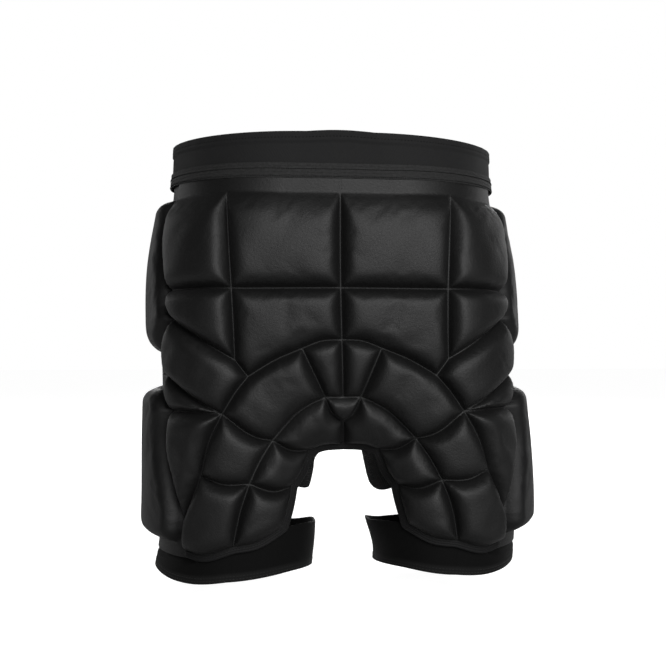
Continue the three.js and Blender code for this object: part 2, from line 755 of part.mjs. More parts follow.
// The height of a side pad by its distances from the two nearest edges, rounded at the corners.
function sideRise(across, down) {
  const reach = SIDE_PROFILE[SIDE_PROFILE.length - 1].inset;
  const corner = Math.hypot(Math.max(0, reach - across), Math.max(0, reach - down));
  const inset = clamp(reach - corner, 0, reach);
  return through(SIDE_PROFILE, "inset", "rise", inset);
}

// Moves a station of the nominal width to a pad of another width, leaving its edges as they are.
function spread(station, long) {
  const edge = SIDE_PROFILE[SIDE_PROFILE.length - 1].inset;
  if (station <= edge) return station;
  if (station >= SIDE_NOMINAL - edge) return long - (SIDE_NOMINAL - station);
  return mix(edge, long - edge, (station - edge) / (SIDE_NOMINAL - 2 * edge));
}

// A side pad between two heights: it tucks under the rims of both panels.
function sidePad(sign, top, bottom, height, flat, lowReach) {
  const surface = sideSurface(sign);
  const tall = top - bottom;
  const heights = [...(flat > 0 ? [-flat] : []), ...padStations(tall)];
  const rows = heights.map((down) => {
    const z = top - down;
    const ahead = rimAngle(FRONT_NODES, FRONT_BENDS, FRONT_RIM, z) * SIDE_ROUNDING - TUCK;
    const turn = Math.PI - rimAngle(BACK_NODES, BACK_BENDS, BACK_RIM, z);
    const long = turn * SIDE_ROUNDING + TUCK - ahead;
    return padStations(SIDE_NOMINAL).map((s) => {
      const at = spread(s, long);
      const deep = Math.min(down, (tall - down) / lowReach);
      const rise = down < 0 ? 0 : sideRise(Math.min(at, long - at), deep);
      return { u: sign * (ahead + at), z, out: mix(UNDER_HIGH, height, rise) };
    });
  });
  return padGrid(surface, rows, sign);
}

// A closed pad over a grid of flat places, each with its height; the rows run downwards.
function padGrid(surface, rows, sign) {
  const mesh = mesher((u, v, out) => lifted(surface, u, v, out));
  const quad = (a, b, c, d) => {
    const turned = sign > 0 ? [a, b, c, d] : [d, c, b, a];
    mesh.face(turned[0], turned[1], turned[2]);
    mesh.face(turned[0], turned[2], turned[3]);
  };
  const tall = rows.length - 1;
  const wide = rows[0].length - 1;
  for (let r = 0; r < tall; r += 1) {
    for (let c = 0; c < wide; c += 1) {
      const corners = [rows[r + 1][c], rows[r + 1][c + 1], rows[r][c + 1], rows[r][c]];
      const top = corners.map((p) => mesh.spot(p.u, p.z, p.out));
      const under = corners.map((p) => mesh.spot(p.u, p.z, UNDER_LOW));
      quad(top[0], top[1], top[2], top[3]);
      quad(under[3], under[2], under[1], under[0]);
      if (r === tall - 1) quad(under[0], under[1], top[1], top[0]);
      if (r === 0) quad(under[2], under[3], top[3], top[2]);
      if (c === 0) quad(under[3], under[0], top[0], top[3]);
      if (c === wide - 1) quad(under[1], under[2], top[2], top[1]);
    }
  }
  return mesh.geometry();
}

function hipPad(sign) {
  return sidePad(sign, HIP_TOP, HIP_BOTTOM, HIP_HEIGHT, YOKE_TOP - HIP_TOP, HIP_LOW_REACH);
}

function thighPad(sign) {
  return sidePad(sign, THIGH_TOP, THIGH_BOTTOM, THIGH_HEIGHT, 0, THIGH_LOW_REACH);
}

function roundTrunk(lowAt, highAt, count, tall) {
  return Array.from({ length: tall + 1 }, (_, r) => {
    return Array.from({ length: count }, (_, c) => {
      const share = c / count;
      return trunkPoint(share, mix(lowAt(share), highAt(share), r / tall));
    });
  });
}

function waistTop(share) {
  return TOP - WAIST_SIDE_DROP * Math.sin(2 * Math.PI * share) ** 2;
}

function waistband() {
  const rows = roundTrunk(() => WAIST_LOW, waistTop, ROUND_STEPS, 2);
  return gridSheet(rows, GAP, GAP + WAIST_THICKNESS, true);
}

function waistTape() {
  const low = GROOVE_HEIGHT + 2 * GAP;
  const rows = roundTrunk(() => TAPE_LOW, () => TAPE_HIGH, ROUND_STEPS, 1);
  return gridSheet(rows, low, low + TAPE_THICKNESS, true);
}

function legBand(sign) {
  const count = BAND_STEPS;
  const tall = 2;
  const rows = Array.from({ length: tall + 1 }, (_, r) => {
    return Array.from({ length: count }, (_, c) => {
      const angle = (360 * c) / count;
      const low = through(BAND, "angle", "low", angle);
      const high = through(BAND, "angle", "high", angle);
      return legPoint(sign, angle, mix(low, high, r / tall));
    });
  });
  const facing = sign > 0 ? rows : rows.map((row) => [...row].reverse());
  return gridSheet(facing, UNDER_LOW, UNDER_HIGH, true);
}

// The narrow binding that follows the lower outline of a panel, just outside it.
function binding(surface, nodes, bends, hem) {
  const half = chain(nodes, bends, hem, 1);
  const other = half.slice(0, -1).map(([u, v]) => [-u, v]);
  const line = [...other, ...half.reverse()];
  const rows = [GAP + BINDING_WIDTH, GAP].map((out) => {
    return line.map(([u, v], i) => {
      const [au, av] = line[Math.max(0, i - 1)];
      const [bu, bv] = line[Math.min(line.length - 1, i + 1)];
      const long = Math.hypot(bu - au, bv - av);
      return surface(u + ((bv - av) / long) * out, v - ((bu - au) / long) * out);
    });
  });
  return gridSheet(rows, OVER_LOW, OVER_LOW + BINDING_THICKNESS, false);
}

function evenly(points, count) {
  const curve = new THREE.CatmullRomCurve3(points);
  return curve.getSpacedPoints(count);
}

// One side of the gusset at a panel: places just outside its lower outline, on it and under it.
function gussetEdge(surface, nodes, bends, sign) {
  const names = ["crotch_centre", "inner_high", "inner_low"];
  const run = chain(nodes, bends, names, 1).map(([u, v]) => new THREE.Vector3(u, v, 0));
  const places = evenly(run, GUSSET_ACROSS);
  return places.map((p, i) => {
    const before = places[Math.max(0, i - 1)];
    const after = places[Math.min(places.length - 1, i + 1)];
    const along = after.clone().sub(before).normalize();
    return [-GUSSET_TUCK, 0, GUSSET_TUCK].map((inside) => {
      return surface(sign * (p.x - along.y * inside), p.y + along.x * inside);
    });
  });
}

// The gusset from the front panel to the back one, wing by wing, with the crotch between them.
function crotchGusset() {
  const columns = [];
  [-1, 1].forEach((sign) => {
    const gap = gapAt(sign, CROTCH_LOW);
    const wing = sign < 0 ? WING_LOW_RIGHT : WING_LOW_LEFT;
    const middle = evenly([
      new THREE.Vector3(0, 0, CROTCH_LOW),
      new THREE.Vector3(sign * gap * 0.72, 0, CROTCH_LOW - 2),
      new THREE.Vector3(sign * gap, 0, CROTCH_LOW - 8),
      new THREE.Vector3(sign * (gap + 1.5), 0, CROTCH_LOW - 17),
      new THREE.Vector3(sign * (gap + 4.5), 0, wing),
    ], GUSSET_ACROSS);
    const front = gussetEdge(frontSurface, FRONT_NODES, FRONT_BENDS, sign);
    const back = gussetEdge(backSurface, BACK_NODES, BACK_BENDS, -sign);
    const half = middle.map((m, i) => {
      const ahead = quarter(front[i][0], m);
      const behind = quarter(back[i][0], m).reverse();
      const [, frontAt, frontUnder] = front[i];
      const [, backAt, backUnder] = back[i];
      return [frontUnder, frontAt, ...ahead, ...behind.slice(1), backAt, backUnder];
    });
    if (sign < 0) columns.push(...half.reverse());
    else columns.push(...half.slice(1));
  });
  return gridSheet(columns, -GUSSET_HALF, GUSSET_HALF, false);
}

// A rounded quarter turn from a panel to the middle of the crotch.
function quarter(start, end) {
  const power = 2 / LEG_ROUNDNESS;
  return Array.from({ length: GUSSET_ARC + 1 }, (_, i) => {
    const turn = (Math.PI / 2) * (i / GUSSET_ARC) ** 1.3;
    const s = Math.sin(turn) ** power;
    const c = Math.max(0, Math.cos(turn)) ** power;
    return new THREE.Vector3(mix(start.x, end.x, s), start.y * c, mix(start.z, end.z, s));
  });
}

function mesh(name, geometry, look) {
  const made = new THREE.Mesh(geometry, new THREE.MeshStandardMaterial(look));
  made.name = name;
  return made;
}

const shorts = new THREE.Group();
shorts.name = "padded_hip_shorts";
shorts.add(mesh("front_pad", frontPad(), CLOTH));
shorts.add(mesh("back_pad", backPad(), CLOTH));
[{ side: "right", sign: -1 }, { side: "left", sign: 1 }].forEach(({ side, sign }) => {
  shorts.add(mesh(`hip_pad_${side}`, hipPad(sign), SIDE_CLOTH));
  shorts.add(mesh(`thigh_pad_${side}`, thighPad(sign), SIDE_CLOTH));
  shorts.add(mesh(`leg_band_${side}`, legBand(sign), ELASTIC));
});
shorts.add(mesh("crotch_gusset", crotchGusset(), NETTING));
const frontBinding = binding(frontSurface, FRONT_NODES, FRONT_BENDS, FRONT_HEM);
const backBinding = binding(backSurface, BACK_NODES, BACK_BENDS, BACK_HEM);
shorts.add(mesh("front_binding", frontBinding, TAPE));
shorts.add(mesh("back_binding", backBinding, TAPE));
shorts.add(mesh("waistband", waistband(), ELASTIC));
shorts.add(mesh("waist_tape", waistTape(), TAPE));

export default shorts;
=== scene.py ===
# %% [markdown]
# # Padded hip and thigh protection shorts
#
# The real shorts are foam blocks under smooth black cloth, with elastic at the waist and thighs.
# They could be sculpted by hand, or draped by simulation alone.
# Here each cloth piece is worked out on one body surface, the one that the solids were made on.
# So it lies where its solid lies, and a changed size moves both.
# The front panel is the main piece: foam blocks parted by pressed grooves.

import json
import math

import bpy
import numpy as np
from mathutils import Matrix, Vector
from mathutils.geometry import delaunay_2d_cdt

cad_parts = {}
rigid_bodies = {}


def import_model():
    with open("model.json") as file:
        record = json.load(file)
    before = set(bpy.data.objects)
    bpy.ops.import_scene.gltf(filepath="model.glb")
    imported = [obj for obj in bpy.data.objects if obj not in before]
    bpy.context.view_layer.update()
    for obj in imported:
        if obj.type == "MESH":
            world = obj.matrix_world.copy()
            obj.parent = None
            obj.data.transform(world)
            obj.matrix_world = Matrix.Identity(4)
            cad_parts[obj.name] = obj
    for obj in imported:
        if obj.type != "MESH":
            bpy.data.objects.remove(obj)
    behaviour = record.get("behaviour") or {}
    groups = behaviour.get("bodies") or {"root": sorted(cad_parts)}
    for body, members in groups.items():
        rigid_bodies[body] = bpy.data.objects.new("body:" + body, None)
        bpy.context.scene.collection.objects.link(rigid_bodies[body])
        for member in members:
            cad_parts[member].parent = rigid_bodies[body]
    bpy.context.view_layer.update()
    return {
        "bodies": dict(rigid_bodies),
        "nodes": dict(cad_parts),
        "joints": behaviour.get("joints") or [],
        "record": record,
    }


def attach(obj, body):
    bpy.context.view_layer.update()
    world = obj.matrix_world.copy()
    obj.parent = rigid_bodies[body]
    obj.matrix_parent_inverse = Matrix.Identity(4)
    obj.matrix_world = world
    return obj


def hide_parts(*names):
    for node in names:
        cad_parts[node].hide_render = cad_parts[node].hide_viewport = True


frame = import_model()
print("solids:", sorted(frame["nodes"]))

# %% [markdown]
# ## Sizes
#
# The shorts keep a worn shape, as their foam is stiff.
# A scanned form could give it, but a short table is easier to read and to change.
# Sizes are in millimetres. The table holds, at shares of the height, the half width,
# where a thigh's crest lies in it, and the depths of crest and middle in front and behind.

# %% Sizes of the body
HALF_WIDTH = 140
FRONT_DEPTH = 100
BACK_DEPTH = 112
TOP = 14
HEIGHT = 344
LEG_GAP = {-1: 20, 1: 23.5}
LEG_FLARE_LEFT = 12
FLARE_START = -285
FLARE_FULL = -330
LEG_ROUNDNESS = 2.6
LEG_START = -235
LEG_FULL = -275
TILT_AT_WAIST = -0.013
TILT_AT_HEM = 0.02
SWAY = np.array([(0, -1.2), (0.3, -1.6), (0.55, 0.6), (0.8, 3.9), (0.92, 3.4), (1, 0.4)])
PANEL_ROUNDING = 150
SIDE_ROUNDING = 78
SIDES = {-1: "right", 1: "left"}
BODY_COLUMNS = ("down", "wide", "crest", "front", "valley", "back", "cleft")
BODY = np.array([
    (0.0, 0.91, 0.2, 0.96, 0.96, 0.86, 0.86),
    (0.14, 0.928, 0.34, 0.96, 0.97, 0.9, 0.9),
    (0.3, 0.985, 0.5, 0.96, 0.98, 0.98, 0.97),
    (0.45, 1.0, 0.58, 0.95, 0.97, 1.04, 0.99),
    (0.58, 1.005, 0.6, 0.93, 0.9, 1.02, 0.92),
    (0.7, 1.02, 0.6, 0.9, 0.7, 0.9, 0.7),
    (0.86, 1.035, 0.6, 0.86, 0.52, 0.8, 0.5),
    (1.0, 1.05, 0.6, 0.84, 0.5, 0.76, 0.48),
])
print("body rows:", len(BODY), "and half width", HALF_WIDTH, "mm")

# %% [markdown]
# ## Layers
#
# The side pads' flanges lie lowest, then the panels' lining, their grooves, and the blocks on top.
# Modifiers could offset each layer from the next.
# Named heights over the body surface say more clearly which piece lies over which.

# %% Heights and edges of the pieces
UNDER_LOW = -1
UNDER_HIGH = 1
OVER_LOW = 2
GROOVE = 3.4
BLOCK = 16
SMALL_BLOCK = 13
GAP = 0.4
TAPE_HIGH = -11.5
TAPE_LOW = -22.8
YOKE_TOP = -19
YOKE_SIDE = -34
print("lining at", OVER_LOW, "grooves at", GROOVE, "blocks at", BLOCK, "mm")

# %% [markdown]
# ## The groove plan
#
# On the real panel a hot press joins cloth to lining along lines, with foam blocks between.
# The lines could be curves drawn in the viewport.
# Named nodes in a flat plan were chosen, because the two blocks beside a groove then share it.
# Nodes are given for one half, by distance from the centre line and height.
# A few grooves bend, and pass through the points listed for them.

# %% Front plan
FRONT_NODES = {
    "yoke_centre": (0, YOKE_TOP), "yoke_edge": (120, YOKE_TOP),
    "top_centre": (0, -31), "top_side": (83, -30.5), "top_edge": (122, -32.5),
    "row_centre": (0, -105), "row_side": (81, -105.5), "row_edge": (124.9, -106.4),
    "diagonal_edge": (123.2, -128), "side_end": (80.7, -158.6),
    "arch_centre": (0, -143.5), "fan_top": (29.9, -150), "arch_knee": (71.3, -171),
    "low_edge": (128.6, -169.8), "flat_edge": (126, -198), "hip_joint": (90.8, -198.7),
    "centre_foot": (0, -186), "fan_foot": (13.7, -186), "shield_tip": (0, -204),
    "thigh_joint": (55.9, -218.8), "crotch_centre": (0, -222.6),
    "inner_high": (27.5, -227.5), "inner_low": (43.5, -256), "knee_joint": (74.2, -251.8),
    "leaf_side": (107.2, -244.8), "leaf_tip": (119.8, -281.4),
    "hem_outer": (119.8, -303), "hem_middle": (85.8, -299.5), "hem_inner": (50.5, -286.5),
}
FRONT_BENDS = {
    ("top_edge", "row_edge"): [(125.6, -52), (127.1, -76)],
    ("row_edge", "diagonal_edge"): [(125.7, -117)],
    ("diagonal_edge", "low_edge"): [(128.6, -148)],
    ("low_edge", "flat_edge"): [(129.3, -184)],
    ("flat_edge", "leaf_tip"): [(128, -228), (123.7, -256), (121, -270)],
    ("arch_centre", "fan_top"): [(15, -144.5)],
    ("fan_top", "arch_knee"): [(51, -159)],
    ("arch_knee", "hip_joint"): [(82, -184)],
    ("low_edge", "hip_joint"): [(110, -187)],
    ("hip_joint", "leaf_side"): [(101, -220.6)],
    ("leaf_side", "leaf_tip"): [(113.2, -261), (116.5, -271)],
    ("hip_joint", "thigh_joint"): [(84, -205), (75, -212.5), (66, -217)],
    ("fan_foot", "thigh_joint"): [(25, -191), (36, -198), (47, -209)],
    ("thigh_joint", "knee_joint"): [(66.8, -236)],
    ("thigh_joint", "inner_high"): [(42.5, -227)],
    ("knee_joint", "leaf_side"): [(92.8, -251.5)],
    ("knee_joint", "inner_low"): [(56.6, -259)],
    ("knee_joint", "hem_middle"): [(81.4, -275)],
    ("hem_outer", "hem_middle"): [(105, -305.5)],
    ("hem_middle", "hem_inner"): [(68, -296.5)],
    ("inner_high", "inner_low"): [(35, -243)],
    ("inner_low", "hem_inner"): [(46.5, -271)],
    ("crotch_centre", "inner_high"): [(17, -223.8)],
    ("fan_foot", "shield_tip"): [(9, -197)],
}
FRONT_BLOCKS = [
    "top_centre top_side row_side row_centre",
    "top_side top_edge row_edge row_side",
    "row_centre row_side side_end arch_knee fan_top arch_centre",
    "row_side row_edge diagonal_edge side_end",
    "diagonal_edge low_edge hip_joint arch_knee side_end",
    "low_edge flat_edge hip_joint",
    "flat_edge leaf_tip leaf_side hip_joint",
    "hip_joint leaf_side knee_joint thigh_joint",
    "fan_top arch_knee hip_joint thigh_joint fan_foot",
    "arch_centre fan_top fan_foot centre_foot",
    "fan_foot thigh_joint inner_high crotch_centre shield_tip",
    "thigh_joint knee_joint inner_low inner_high",
    "leaf_side leaf_tip hem_outer hem_middle knee_joint",
    "knee_joint hem_middle hem_inner inner_low",
]
FRONT_SHIELD = "fan_foot centre_foot -fan_foot shield_tip"
YOKE = "yoke_centre yoke_edge top_edge top_side top_centre"
FRONT_RIM = "top_edge row_edge diagonal_edge low_edge flat_edge leaf_tip hem_outer"
FRONT_HEM = "hem_outer hem_middle hem_inner inner_low inner_high crotch_centre"
print("front blocks:", 2 * len(FRONT_BLOCKS) + 1)

# %% [markdown]
# The back isn't in the photograph, so it gets plain rows of the same blocks.
# A copy of the front would be quicker, but its arch is cut for the front of the thighs.

# %% Back plan
BACK_NODES = {
    "yoke_centre": (0, YOKE_TOP), "yoke_edge": (114, YOKE_TOP),
    "top_centre": (0, -31), "top_side": (66, -31), "top_edge": (115, -33),
    "row_centre": (0, -102), "row_side": (68, -104), "row_edge": (121, -106),
    "low_centre": (0, -172), "low_side": (72, -174), "low_edge": (124, -170),
    "crotch_centre": (0, -229), "inner_high": (30, -236), "thigh_side": (82, -236),
    "thigh_edge": (124, -236), "inner_low": (55, -262),
    "hem_inner": (73, -308), "hem_outer": (117, -313),
}
BACK_BENDS = {
    ("top_edge", "row_edge"): [(121, -70)],
    ("row_edge", "low_edge"): [(125.5, -140)],
    ("low_edge", "thigh_edge"): [(127, -204)],
    ("thigh_edge", "hem_outer"): [(123, -275)],
    ("hem_outer", "hem_inner"): [(95, -314)],
    ("inner_low", "hem_inner"): [(69, -283)],
    ("inner_high", "inner_low"): [(43, -247)],
    ("crotch_centre", "inner_high"): [(17, -230.5)],
}
BACK_BLOCKS = [
    "top_centre top_side row_side row_centre",
    "top_side top_edge row_edge row_side",
    "row_centre row_side low_side low_centre",
    "row_side row_edge low_edge low_side",
    "low_centre low_side thigh_side inner_high crotch_centre",
    "low_side low_edge thigh_edge thigh_side",
    "thigh_side thigh_edge hem_outer hem_inner inner_low inner_high",
]
BACK_RIM = "top_edge row_edge low_edge thigh_edge hem_outer"
BACK_HEM = "hem_outer hem_inner inner_low inner_high crotch_centre"
print("back blocks:", 2 * len(BACK_BLOCKS))

# %% [markdown]
# ## The body surface
#
# Panels, pads and bands all follow one surface.
# A Shrinkwrap modifier could press flat cloth onto a mesh, but it would bunch up in places.
# Functions from a place on the flat cloth to a place in space keep it even.
# They work on whole arrays of places at once, which keeps the script fast.

# %% Reading the body table
def mix(a, b, t):
    return a + (b - a) * t


def ease(t):
    t = np.clip(t, 0, 1)
    return t * t * (3 - 2 * t)


def hermite(t, a, slope_a, b, slope_b):
    """The smooth curve from a to b with given slopes at both ends."""
    start = (2 * t**3 - 3 * t**2 + 1) * a + (t**3 - 2 * t**2 + t) * slope_a
    return start + (3 * t**2 - 2 * t**3) * b + (t**3 - t**2) * slope_b


def through(xs, ys, value):
    """A smooth curve through table rows."""
    xs = np.asarray(xs, float)
    ys = np.asarray(ys, float)
    x = np.clip(value, xs[0], xs[-1])
    i = np.clip(np.searchsorted(xs, x, side="right") - 1, 0, len(xs) - 2)
    slope = np.empty(len(xs))
    slope[1:-1] = (ys[2:] - ys[:-2]) / (xs[2:] - xs[:-2])
    slope[0] = (ys[1] - ys[0]) / (xs[1] - xs[0])
    slope[-1] = (ys[-1] - ys[-2]) / (xs[-1] - xs[-2])
    span = xs[i + 1] - xs[i]
    return hermite((x - xs[i]) / span, ys[i], span * slope[i], ys[i + 1], span * slope[i + 1])


def body_at(z):
    down = (TOP - np.asarray(z, float)) / HEIGHT
    read = {k: through(BODY[:, 0], BODY[:, c], down) for c, k in enumerate(BODY_COLUMNS)}
    wide = read["wide"] * HALF_WIDTH
    return {
        "wide": wide, "crest": read["crest"] * wide,
        "front": read["front"] * FRONT_DEPTH, "valley": read["valley"] * FRONT_DEPTH,
        "back": read["back"] * BACK_DEPTH, "cleft": read["cleft"] * BACK_DEPTH,
    }


print("half width at the top:", round(float(body_at(TOP)["wide"]), 1), "mm")

# %% [markdown]
# Above the legs the surface is one trunk, and below they part, so depth is blended from both.
# A Boolean union of three bodies could do it, but would leave a hard crease in the crotch.

# %% Depth in front and behind
def gap_at(x, z):
    """Half the gap between the thighs, which opens a little at the hem of the left one."""
    flare = LEG_FLARE_LEFT * ease((FLARE_START - z) / (FLARE_START - FLARE_FULL))
    return np.where(x < 0, LEG_GAP[-1], LEG_GAP[1] + flare)


def depth_at(x, z, facing):
    body = body_at(z)
    away = np.abs(x)
    deep = body["front"] if facing < 0 else body["back"]
    middle = body["valley"] if facing < 0 else body["cleft"]
    across = np.clip((away - body["crest"]) / (body["wide"] - body["crest"]), 0, 1)
    outer = deep * np.sqrt(1 - across**2)
    trunk = middle + (deep - middle) * (1 - np.cos(np.pi * away / body["crest"])) / 2
    gap = gap_at(np.asarray(x), np.asarray(z))
    inward = np.clip((body["crest"] - away) / (body["crest"] - gap), 0, 1)
    leg = deep * (1 - inward**LEG_ROUNDNESS) ** (1 / LEG_ROUNDNESS)
    inner = mix(trunk, leg, ease((LEG_START - np.asarray(z)) / (LEG_START - LEG_FULL)))
    return facing * np.where(away > body["crest"], outer, inner)


def panel_surface(facing):
    def surface(u, v):
        x = -facing * PANEL_ROUNDING * np.sin(u / PANEL_ROUNDING)
        return np.stack([x, depth_at(x, v, facing), v + 0 * x], -1)
    return surface


def outer_round(body, turn):
    """The outer half of a section, from the front crest at turn 0 to the back one."""
    deep = np.where(np.cos(turn) > 0, body["front"], body["back"])
    return body["crest"] + (body["wide"] - body["crest"]) * np.sin(turn), -deep * np.cos(turn)


def side_surface(sign):
    def surface(u, v):
        x, y = outer_round(body_at(v), sign * u / SIDE_ROUNDING)
        return np.stack([sign * x, y, v + 0 * x], -1)
    return surface


front_surface, back_surface = panel_surface(-1), panel_surface(1)
print("front middle at the top, mm:", front_surface(0.0, TOP).round(1))

# %% [markdown]
# The waistband and the leg bands run all the way round, so they need closed curves.
# A bevelled curve object could make them, but can't follow a section that changes with height.
# A place on one is an angle or a share round it, and a height.

# %% Closed curves
FLAT_SHARE = 0.22


def leg_surface(sign):
    def surface(angle, z):
        body = body_at(z)
        s = np.sin(angle)
        c = np.cos(angle)
        power = 2 / LEG_ROUNDNESS
        outer_x, outer_y = outer_round(body, angle)
        gap = gap_at(sign, z)
        inner_x = body["crest"] - (body["crest"] - gap) * np.abs(s) ** power
        deep = np.where(c > 0, body["front"], body["back"])
        inner_y = -deep * np.sign(c) * np.abs(c) ** power
        x = np.where(s >= 0, outer_x, inner_x)
        y = np.where(s >= 0, outer_y, inner_y)
        return np.stack([sign * x, y, z + 0 * x], -1)
    return surface


def trunk_surface(share, z):
    share = np.mod(share, 1)
    sign = np.where(share <= 0.5, 1, -1)
    half = np.where(share <= 0.5, share * 2, (1 - share) * 2)
    body = body_at(z)
    turn = np.pi * np.clip((half - FLAT_SHARE) / (1 - 2 * FLAT_SHARE), 0, 1)
    round_x, round_y = outer_round(body, turn)
    middle = (half >= FLAT_SHARE) & (half <= 1 - FLAT_SHARE)
    flat_x = body["crest"] * np.where(half < 0.5, half, 1 - half) / FLAT_SHARE
    x = np.where(middle, round_x, flat_x)
    flat_y = np.where(half < 0.5, depth_at(x, z, -1), depth_at(x, z, 1))
    y = np.where(middle, round_y, flat_y)
    return np.stack([sign * x, y, z + 0 * x], -1)


def lifted(surface, u, v, out, du=0.5, dv=0.5):
    """Places at a height over a surface, along its outward normal."""
    along_u = surface(u + du, v) - surface(u - du, v)
    along_v = surface(u, v + dv) - surface(u, v - dv)
    normal = np.cross(along_u, along_v)
    normal /= np.linalg.norm(normal, axis=-1, keepdims=True)
    return surface(u, v) + normal * np.asarray(out)[..., None]


def as_worn(p):
    """The small sway and lean that the shorts have as they are worn."""
    down = np.clip((TOP - p[..., 2]) / HEIGHT, 0, 1.1)
    tilt = mix(TILT_AT_WAIST, TILT_AT_HEM, down)
    x = p[..., 0] + through(SWAY[:, 0], SWAY[:, 1], down)
    return np.stack([x, p[..., 1], p[..., 2] + tilt * p[..., 0]], -1)


print("widest place of the trunk, mm:", trunk_surface(0.25, -140.0).round(1))

# %% [markdown]
# ## Making meshes
#
# A real cloth piece has two sides and an edge, so each mesh is a closed sheet.
# A Solidify modifier could thicken an open sheet, but foam changes its thickness everywhere.
# So both sides come from arrays of places, with a map in metres for the weave.

# %% Mesh helpers
def make_piece(name, places, faces, flat):
    mesh = bpy.data.meshes.new(name)
    mesh.from_pydata((as_worn(places) / 1000).tolist(), [], faces)
    mesh.validate()
    mesh.update()
    layer = mesh.uv_layers.new(name="cloth")
    loops = np.empty(len(mesh.loops), dtype=np.int64)
    mesh.loops.foreach_get("vertex_index", loops)
    layer.data.foreach_set("uv", (flat[loops] / 1000).astype(np.float32).ravel())
    mesh.shade_smooth()
    piece = bpy.data.objects.new(name, mesh)
    bpy.context.collection.objects.link(piece)
    return piece


def grid_faces(rows, cols, closed):
    faces = []
    for r in range(0, (rows - 1) * cols, cols):
        for c in range(cols if closed else cols - 1):
            n = (c + 1) % cols
            faces.append((r + c, r + n, r + cols + n, r + cols + c))
    return faces


loose_places = {}


def hold(piece, loose):
    """Notes how loose each place is, from 0 where it is sewn, for the cloth run."""
    group = piece.vertex_groups.new(name="sewn")
    for at in np.where(loose < 1)[0].tolist():
        group.add([at], float(1 - loose[at]), "REPLACE")
    loose_places[piece.name] = loose


print("faces of a closed grid of 3 by 4:", len(grid_faces(3, 4, True)))

# %% [markdown]
# ## Runs of groove
#
# A pressed groove is a smooth line, even where it passes a node.
# A Bezier curve could be sampled for it, but needs handles at each node.
# A spline through the nodes and bends needs none, and is cut into short even steps.
# It is made once, and shared by both of the blocks beside it.

# %% Groove runs
def unrolled(x):
    return PANEL_ROUNDING * np.arcsin(x / PANEL_ROUNDING)


def even_line(line, step):
    """A line cut again into even steps, and the distances along it."""
    long = np.concatenate([[0], np.cumsum(np.linalg.norm(np.diff(line, axis=0), axis=1))])
    at = np.linspace(0, long[-1], max(2, int(round(long[-1] / step))) + 1)
    return np.stack([np.interp(at, long, line[:, k]) for k in range(line.shape[1])], 1), at


def smooth_run(points, step):
    pts = np.array(points, float)
    ends = np.vstack([2 * pts[0] - pts[1], pts, 2 * pts[-1] - pts[-2]])
    fine = []
    for i in range(len(pts) - 1):
        p0, p1, p2, p3 = ends[i:i + 4]
        t = np.linspace(0, 1, 40, endpoint=False)[:, None]
        k = [np.linalg.norm(b - a) ** 0.5 for a, b in ((p0, p1), (p1, p2), (p2, p3))]
        m1 = (p1 - p0) / k[0] - (p2 - p0) / (k[0] + k[1]) + (p2 - p1) / k[1]
        m2 = (p2 - p1) / k[1] - (p3 - p1) / (k[1] + k[2]) + (p3 - p2) / k[2]
        fine.append(hermite(t, p1, m1 * k[1], p2, m2 * k[1]))
    return even_line(np.vstack(fine + [pts[-1:]]), step)[0]


class Plan:
    """A panel's grooves, with one shared copy of each run."""

    def __init__(self, nodes, bends, step):
        self.nodes = nodes
        self.bends = bends
        self.step = step
        self.made = {}

    def place(self, name, sign):
        x, z = self.nodes[name.strip("-")]
        return np.array([unrolled(x) * (-sign if name.startswith("-") else sign), z])

    def run(self, start, end, sign):
        a, b = start.strip("-"), end.strip("-")
        side = -sign if "-" in (start + end) else sign
        turned = (b, a) in self.bends or ((a, b) not in self.bends and a > b)
        if turned:
            start, end, a, b = end, start, b, a
        key = (a, b, side)
        if key not in self.made:
            middle = [(unrolled(x) * side, z) for x, z in self.bends.get((a, b), [])]
            points = [self.place(start, sign), *middle, self.place(end, sign)]
            self.made[key] = smooth_run(points, self.step)
        return self.made[key][::-1] if turned else self.made[key]

    def runs(self, names, sign, closed=True):
        names = names.split()
        following = names[1:] + names[:1] if closed else names[1:]
        return [self.run(a, b, sign) for a, b in zip(names, following)]

    def chain(self, names, sign, closed=False):
        runs = self.runs(names, sign, closed)
        line = np.vstack([r[:-1] for r in runs])
        return line if closed else np.vstack([line, runs[-1][-1:]])


FRONT = Plan(FRONT_NODES, FRONT_BENDS, 1.7)
BACK = Plan(BACK_NODES, BACK_BENDS, 2.4)
print("hem outline points:", len(FRONT.chain(FRONT_HEM, 1)))

# %% [markdown]
# ## Padded panels
#
# The panels are the parts that protect: blocks of foam with deep round edges.
# They could be sculpted, or a flat sheet could be inflated between sewn lines.
# Neither keeps the grooves sharp, so height is worked out from the distance to the grooves.

# %% Distances on the plan
def distance_to(points, line):
    a = line[:-1]
    d = line[1:] - a
    ap = points[:, None, :] - a[None]
    t = np.clip((ap * d).sum(-1) / (d * d).sum(-1), 0, 1)
    gap = ap - t[..., None] * d
    return np.sqrt((gap**2).sum(-1)).min(1)


def inside(points, loop):
    x, y = points[:, 0:1], points[:, 1:2]
    a, b = loop, np.roll(loop, -1, axis=0)
    crosses = (a[:, 1] > y) != (b[:, 1] > y)
    with np.errstate(divide="ignore", invalid="ignore"):
        at = a[:, 0] + (b[:, 0] - a[:, 0]) * (y - a[:, 1]) / (b[:, 1] - a[:, 1])
    return (crosses & (x < at)).sum(1) % 2 == 1


SQUARE = np.array([(0.0, 0.0), (10.0, 0.0), (10.0, 10.0), (0.0, 10.0)])
print("from (5, 4) to a square's edge:", distance_to(np.array([(5.0, 4.0)]), SQUARE)[0], "mm")

# %% [markdown]
# A plain grid of faces would cut across the slanting grooves and make them ragged.
# So the plan is cut into triangles that keep to the grooves, and are smallest beside them.

